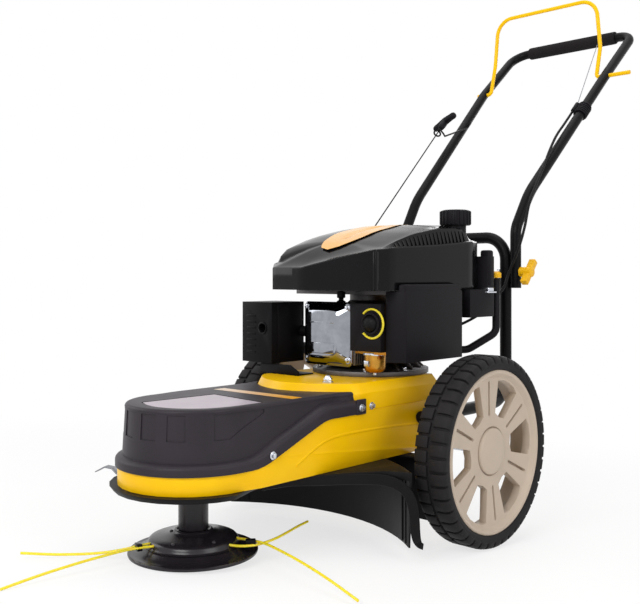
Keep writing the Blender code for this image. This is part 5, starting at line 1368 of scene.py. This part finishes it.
# %% [markdown]
# ## Foam grip
# A foam sleeve is pushed over the crossbar. Foam keeps a soft outline: its ends are round and its
# surface swells very slightly in the middle. It is spun about the bar and then laid along it.

# %% Foam grip
GRIP_HALF = 0.1275
sleeve_line = there_and_back([(0.0121, -GRIP_HALF), (0.0150, -GRIP_HALF),
                              (0.0160, -GRIP_HALF + 0.0015), (0.0164, -GRIP_HALF + 0.005)],
                             [(0.0165, 0.0)])
sleeve = lathe("sleeve", sleeve_line, 48, closed=True)
moved(sleeve, Matrix.Translation((0, 1.331, 1.141)) @ Matrix.Rotation(math.pi / 2, 4, "Y"))
settle(sleeve, "upper_handle", HANDLE_FOAM, ["foam_grip"])

# %% [markdown]
# ## Bail
# The bail is one bent steel rod, painted yellow. Its ends pass through the tubes, and the longer
# one stands out on the near side. Squeezing the bail to the grip pulls the inner wire of the
# cable.

# %% Bail
bail_points = [(0.240, 1.162, 1.003), (0.153, 1.162, 1.003), (0.153, 1.184, 1.084),
               (0.142, 1.183, 1.207), (-0.142, 1.183, 1.207), (-0.153, 1.184, 1.084),
               (-0.153, 1.162, 1.003), (-0.194, 1.162, 1.003)]
bail = rod("bail_rod", bent(bail_points, [0.010, 0.04, 0.045, 0.045, 0.04, 0.010], 8), 0.005, 5)
settle(bail, "bail", YELLOW_COAT, ["bail"], smooth=50)
print("bail bent from one rod")

# %% [markdown]
# ## Folding knobs and bolts
# The upper handle folds about two bolts. Outside, each has a yellow T-shaped knob; inside, a nut.
# The imported knob keeps its shape and is rounded like a moulding, and the bolt is rounded too; no
# washer is added.

# %% Knobs and bolts
for side, name in SIDES:
    dress("handle_knob_" + name, "knob_" + name, (0.0026, 3, 35), "knob_" + name,
          YELLOW_KNOB)
    dress("handle_bolt_" + name, "bolt_" + name, (0.0006, 2, 30), "chassis",
          ZINC_PLATE)
print("two knobs and two bolts")

# %% [markdown]
# ## Cable clamp
# The control cable's sheath ends in a plastic clamp on the near tube. The clamp is a sleeve with
# ribs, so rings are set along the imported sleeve, square to the tube.

# %% Cable clamp
clamp = moved(rounded(cad_copy("cable_clamp", "clamp"), 0.0006, 2, 35), MACHINE.inverted())
CLAMP_HEIGHT = 0.902
tube_low, tube_high = Vector((0.1554, 0.826, 0.690)), Vector((0.176, 1.162, 1.003))
tube_way = (tube_high - tube_low).normalized()
clamp_middle = tube_low + tube_way * ((CLAMP_HEIGHT - tube_low.z) / tube_way.z)
ring_line = [(0.0157, -0.0016), (0.0172, -0.0011), (0.0172, 0.0011), (0.0157, 0.0016)]
clamp_rings = []
for number in range(5):
    ring = lathe("ring", ring_line, 40, closed=True)
    spot = clamp_middle + tube_way * (0.0062 * (number - 2))
    turn_to = tube_way.to_track_quat("Z", "Y").to_matrix().to_4x4()
    clamp_rings.append(moved(ring, Matrix.Translation(spot) @ turn_to))
clamp = joined("clamp", *clamp_rings, clamp)
settle(clamp, "upper_handle", CAP_BLACK, ["cable_clamp"])
guide = cad_copy("rope_guide", "rope_eye")
settle(guide, "upper_handle", BLACK_COAT, ["rope_guide"], level=False, smooth=60)
print("clamp with", len(clamp_rings), "ribs")

# %% [markdown]
# ## Starter grip
# The recoil grip is a T of satin plastic: a neck that the rope enters and a bar that bulges for
# the fingers. Both are spun. The bar's ends are drawn back a little, as a crescent, and it hangs
# askew.

# %% Starter grip
ROPE_START = Vector((-0.128, 0.606, 0.594))
ROPE_END = Vector((-0.1533, 0.924, 0.881))
GRIP_TILT = math.radians(24)
rope_way = (ROPE_END - ROPE_START).normalized()
neck_line = [(0, 0), (0.0060, 0), (0.0072, 0.0015), (0.0085, 0.0100), (0.0089, 0.0200),
             (0.0089, 0.0300), (0, 0.0300)]
neck = lathe("neck", neck_line, 40)
moved(neck, Matrix.Translation(ROPE_END) @ rope_way.to_track_quat("Z", "Y").to_matrix().to_4x4())
bar_line = there_and_back([(0, -0.0420), (0.0045, -0.0415), (0.0072, -0.0390), (0.0086, -0.0340),
                           (0.0084, -0.0240), (0.0092, -0.0120)], [(0.0098, 0.0)])
grip_bar = lathe("bar", bar_line, 40)
level_way = (Vector((1, 0, 0)) - rope_way * rope_way.x).normalized()
bar_way = (level_way * math.cos(GRIP_TILT) + level_way.cross(rope_way) * math.sin(GRIP_TILT))
bar_turn = Matrix((rope_way.cross(bar_way), rope_way, bar_way)).transposed().to_4x4()
for spot in grip_bar.data.vertices:
    spot.co.y += 0.0030 - 3.4 * spot.co.z * spot.co.z
moved(grip_bar, Matrix.Translation(ROPE_END + rope_way * 0.030) @ bar_turn)
grip = joined("recoil_grip", neck, grip_bar)
settle(grip, "starter_grip", CAP_BLACK, ["starter_grip"])
print("recoil grip on the rope's end")

# %% [markdown]
# ## Cords
# Three cords cross a joint; each is left in the imported frame, on no body. The starter rope is
# braided and runs straight from the shroud to the grip. The control cable hangs along the near
# tube in a flowing curve. The bail's inner wire is bare steel. Each is a round section along its
# own line of points.

# %% Cords
def settle_bending(piece, material, node):
    """Like settle, for a piece that runs between two bodies from one place to another; it rides on
    neither.
    """
    piece.data.transform(MACHINE)
    work_on(piece)
    bpy.ops.object.shade_smooth_by_angle(angle=math.radians(60))
    piece.data.materials.append(material)
    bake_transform(piece)
    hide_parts(node)


CABLE_ROUTE = [(0.1529, 1.0368, 0.901), (0.1525, 0.996, 0.866), (0.158, 0.945, 0.830),
               (0.165, 0.898, 0.787), (0.172, 0.862, 0.7515), (0.178, 0.8115, 0.700),
               (0.182, 0.778, 0.658), (0.182, 0.761, 0.612), (0.175, 0.7485, 0.5665),
               (0.152, 0.7475, 0.513), (0.145, 0.737, 0.480), (0.135, 0.717, 0.457),
               (0.122, 0.698, 0.431), (0.100, 0.6736, 0.410), (0.085, 0.630, 0.395),
               (0.070, 0.575, 0.386), (0.0655, 0.530, 0.384)]
cable = rod("cable", flowing(CABLE_ROUTE, 6), 0.003, 3)
settle_bending(cable,
               SHEATH_RUBBER, "control_cable")
rope = rod("rope", [ROPE_START.lerp(ROPE_END, i / 60) for i in range(61)], 0.0015, 3)
settle_bending(rope,
               SHEATH_RUBBER, "starter_rope")
wire_start = Vector(CABLE_ROUTE[0]) + tube_way * 0.0306
wire_end = Vector((0.1450, 1.184, 1.090))
wire = rod("inner_wire", [wire_start.lerp(wire_end, i / 40) for i in range(41)], 0.001, 3)
settle_bending(wire, PLAIN_STEEL,
               "bail_wire")
print("three cords in place")

# %% [markdown]
# ## Trimmer lines
# The line is round nylon, over 4 mm thick, folded round the head. Its own stiffness bows it
# outward, and centrifugal force has frayed the tips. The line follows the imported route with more
# sections.

# %% Trimmer lines
LINES = {
    "left": [(-0.0135, -0.332, 0.0650), (-0.022, -0.262, 0.0670), (-0.0265, -0.190, 0.0680),
             (-0.0262, -0.126, 0.0682), (-0.021, -0.098, 0.0682), (-0.012, -0.076, 0.0680),
             (-0.004, -0.050, 0.0680), (0.0, -0.034, 0.0680), (-0.006, -0.026, 0.0680),
             (-0.014, -0.034, 0.0680), (-0.023, -0.057, 0.0680), (-0.031, -0.086, 0.0680),
             (-0.046, -0.106, 0.0630), (-0.072, -0.137, 0.0585), (-0.110, -0.184, 0.0590),
             (-0.144, -0.232, 0.0650)],
    "right": [(0.343, 0.020, 0.0440), (0.275, 0.034, 0.0540), (0.209, 0.045, 0.0620),
              (0.150, 0.054, 0.0665), (0.110, 0.059, 0.0682), (0.088, 0.055, 0.0690),
              (0.066, 0.049, 0.0690), (0.048, 0.042, 0.0690), (0.036, 0.032, 0.0685),
              (0.038, 0.020, 0.0680), (0.052, 0.014, 0.0680), (0.074, 0.018, 0.0670),
              (0.088, 0.034, 0.0650), (0.096, 0.060, 0.0640), (0.096, 0.095, 0.0650),
              (0.086, 0.135, 0.0655), (0.074, 0.172, 0.0655), (0.064, 0.208, 0.0650)]}
for side, points in LINES.items():
    line = rod("line_" + side, flowing(points, 5), 0.0022, 4)
    settle(line, "head", NYLON, ["trimmer_line_" + side], smooth=60)
clips = [moved(block("clip", (-0.0045, -0.0085, 0.0625), (0.0045, 0.0085, 0.0735), 0.0012),
               Matrix.Translation(place) @ Matrix.Rotation(math.radians(angle), 4, "Z"))
         for place, angle in (((-0.0262, -0.0910, 0), 72), ((0.0880, 0.0480, 0), -40))]
settle(joined("line_clips", *clips), "head", GLOSS_BLACK)
print("two lines and two clips")

# %% [markdown]
# ## Inner pieces
# The drive belt, its pulleys, the shafts and bearings, the flywheel and the starter drum are shown
# as packed, because covers hide them. Each still gets the finish of its real material.

# %% Inner pieces
INNER = {"drive_belt": SHEATH_RUBBER, "spindle_pulley": PLAIN_STEEL, "engine_pulley": PLAIN_STEEL,
         "idler_arm": PLAIN_STEEL, "idler_pulley": SATIN_BLACK, "spindle_shaft": PLAIN_STEEL,
         "spindle_bearing_lower": ZINC_PLATE, "spindle_bearing_upper": ZINC_PLATE,
         "crankshaft": PLAIN_STEEL, "flywheel": CAST_METAL, "starter_drum": CAP_BLACK,
         "air_filter_element": HANDLE_FOAM}
for name, material in INNER.items():
    node = frame["nodes"][name]
    node.data.materials.clear()
    node.data.materials.append(material)
print(len(INNER), "inner pieces finished")

# %% [markdown]
# ## Light and floor
# Five soft panels light the machine as in a product studio: a key from the front, a fill from its
# right, one from its left, one from above, and one from behind for the edges. The floor is pale
# and keeps the soft shadow. What the camera sees past it, and what metal mirrors, is plain white.

# %% Light and floor
def soft_panel(name, place, size, watts):
    """A square area lamp turned toward the middle of the machine."""
    lamp = bpy.data.lights.new(name, "AREA")
    lamp.shape = "RECTANGLE"
    lamp.size, lamp.size_y = size
    lamp.energy = watts
    shown = bpy.data.objects.new(name, lamp)
    bpy.context.scene.collection.objects.link(shown)
    turn = (Vector((0, -0.1, 0.4)) - Vector(place)).to_track_quat("-Z", "Y")
    shown.matrix_world = Matrix.Translation(place) @ turn.to_matrix().to_4x4()
    return shown


soft_panel("key_panel", (0.7, -3.0, 1.8), (1.5, 1.5), 52)
soft_panel("fill_panel", (-2.6, -1.6, 1.5), (1.6, 1.6), 18)
soft_panel("side_panel", (2.8, -0.2, 1.6), (1.6, 1.6), 24)
soft_panel("top_panel", (0.0, 0.0, 3.0), (2.2, 2.6), 28)
soft_panel("back_panel", (-0.8, 2.8, 1.8), (1.8, 1.2), 16)

world = bpy.data.worlds.new("studio")
bpy.context.scene.world = world
world.use_nodes = True
tree = world.node_tree
tree.nodes.clear()


def seen_straight(tree):
    """One for rays that show the surroundings, and zero for those that only light."""
    rays = add_node(tree, "ShaderNodeLightPath")
    seen = add_node(tree, "ShaderNodeMath", {0: rays.outputs["Is Camera Ray"],
                                             1: rays.outputs["Is Transmission Ray"]},
                    operation="MAXIMUM")
    return add_node(tree, "ShaderNodeMath", {0: seen.outputs[0], 1: rays.outputs["Is Glossy Ray"]},
                    operation="MAXIMUM").outputs[0]


level = add_node(tree, "ShaderNodeMapRange", {"Value": seen_straight(tree), "To Min": 0.40,
                                              "To Max": 1.0})
glow = add_node(tree, "ShaderNodeBackground", {"Color": (1, 1, 1, 1),
                                               "Strength": level.outputs["Result"]})
add_node(tree, "ShaderNodeOutputWorld", {"Surface": glow.outputs[0]})

FLOOR_CARD, tree, surface, place = new_material("white_floor_card", Roughness=0.9,
                                                Specular_IOR_Level=0.0)
two_tone(tree, surface, noise(tree, place, 3.0, 2.0), "#f6f6f6", "#fafafa")
away = add_node(tree, "ShaderNodeVectorMath", {0: place}, operation="LENGTH")
share = add_node(tree, "ShaderNodeMapRange", {"Value": away.outputs["Value"], "From Min": 0.7,
                                              "From Max": 1.9, "To Min": 0.72, "To Max": 1.0})
share = add_node(tree, "ShaderNodeMath", {0: share.outputs["Result"], 1: seen_straight(tree)},
                 operation="MULTIPLY")
white = add_node(tree, "ShaderNodeEmission", {"Color": (1, 1, 1, 1), "Strength": 1.0})
blend = add_node(tree, "ShaderNodeMixShader", {0: share.outputs[0], 1: surface.outputs[0],
                                               2: white.outputs[0]})
tree.links.new(blend.outputs[0], tree.nodes["Material Output"].inputs["Surface"])
floor = drawn("floor", [(-30, -30, 0), (30, -30, 0), (30, 30, 0), (-30, 30, 0)], (), [(0, 1, 2, 3)])
moved(floor, Matrix.Translation((0, 0, cad_box[0][2] - 0.0004)))
floor.data.materials.append(FLOOR_CARD)
bpy.context.scene.view_settings.view_transform = "Standard"
print("five panels, white surroundings and a floor")
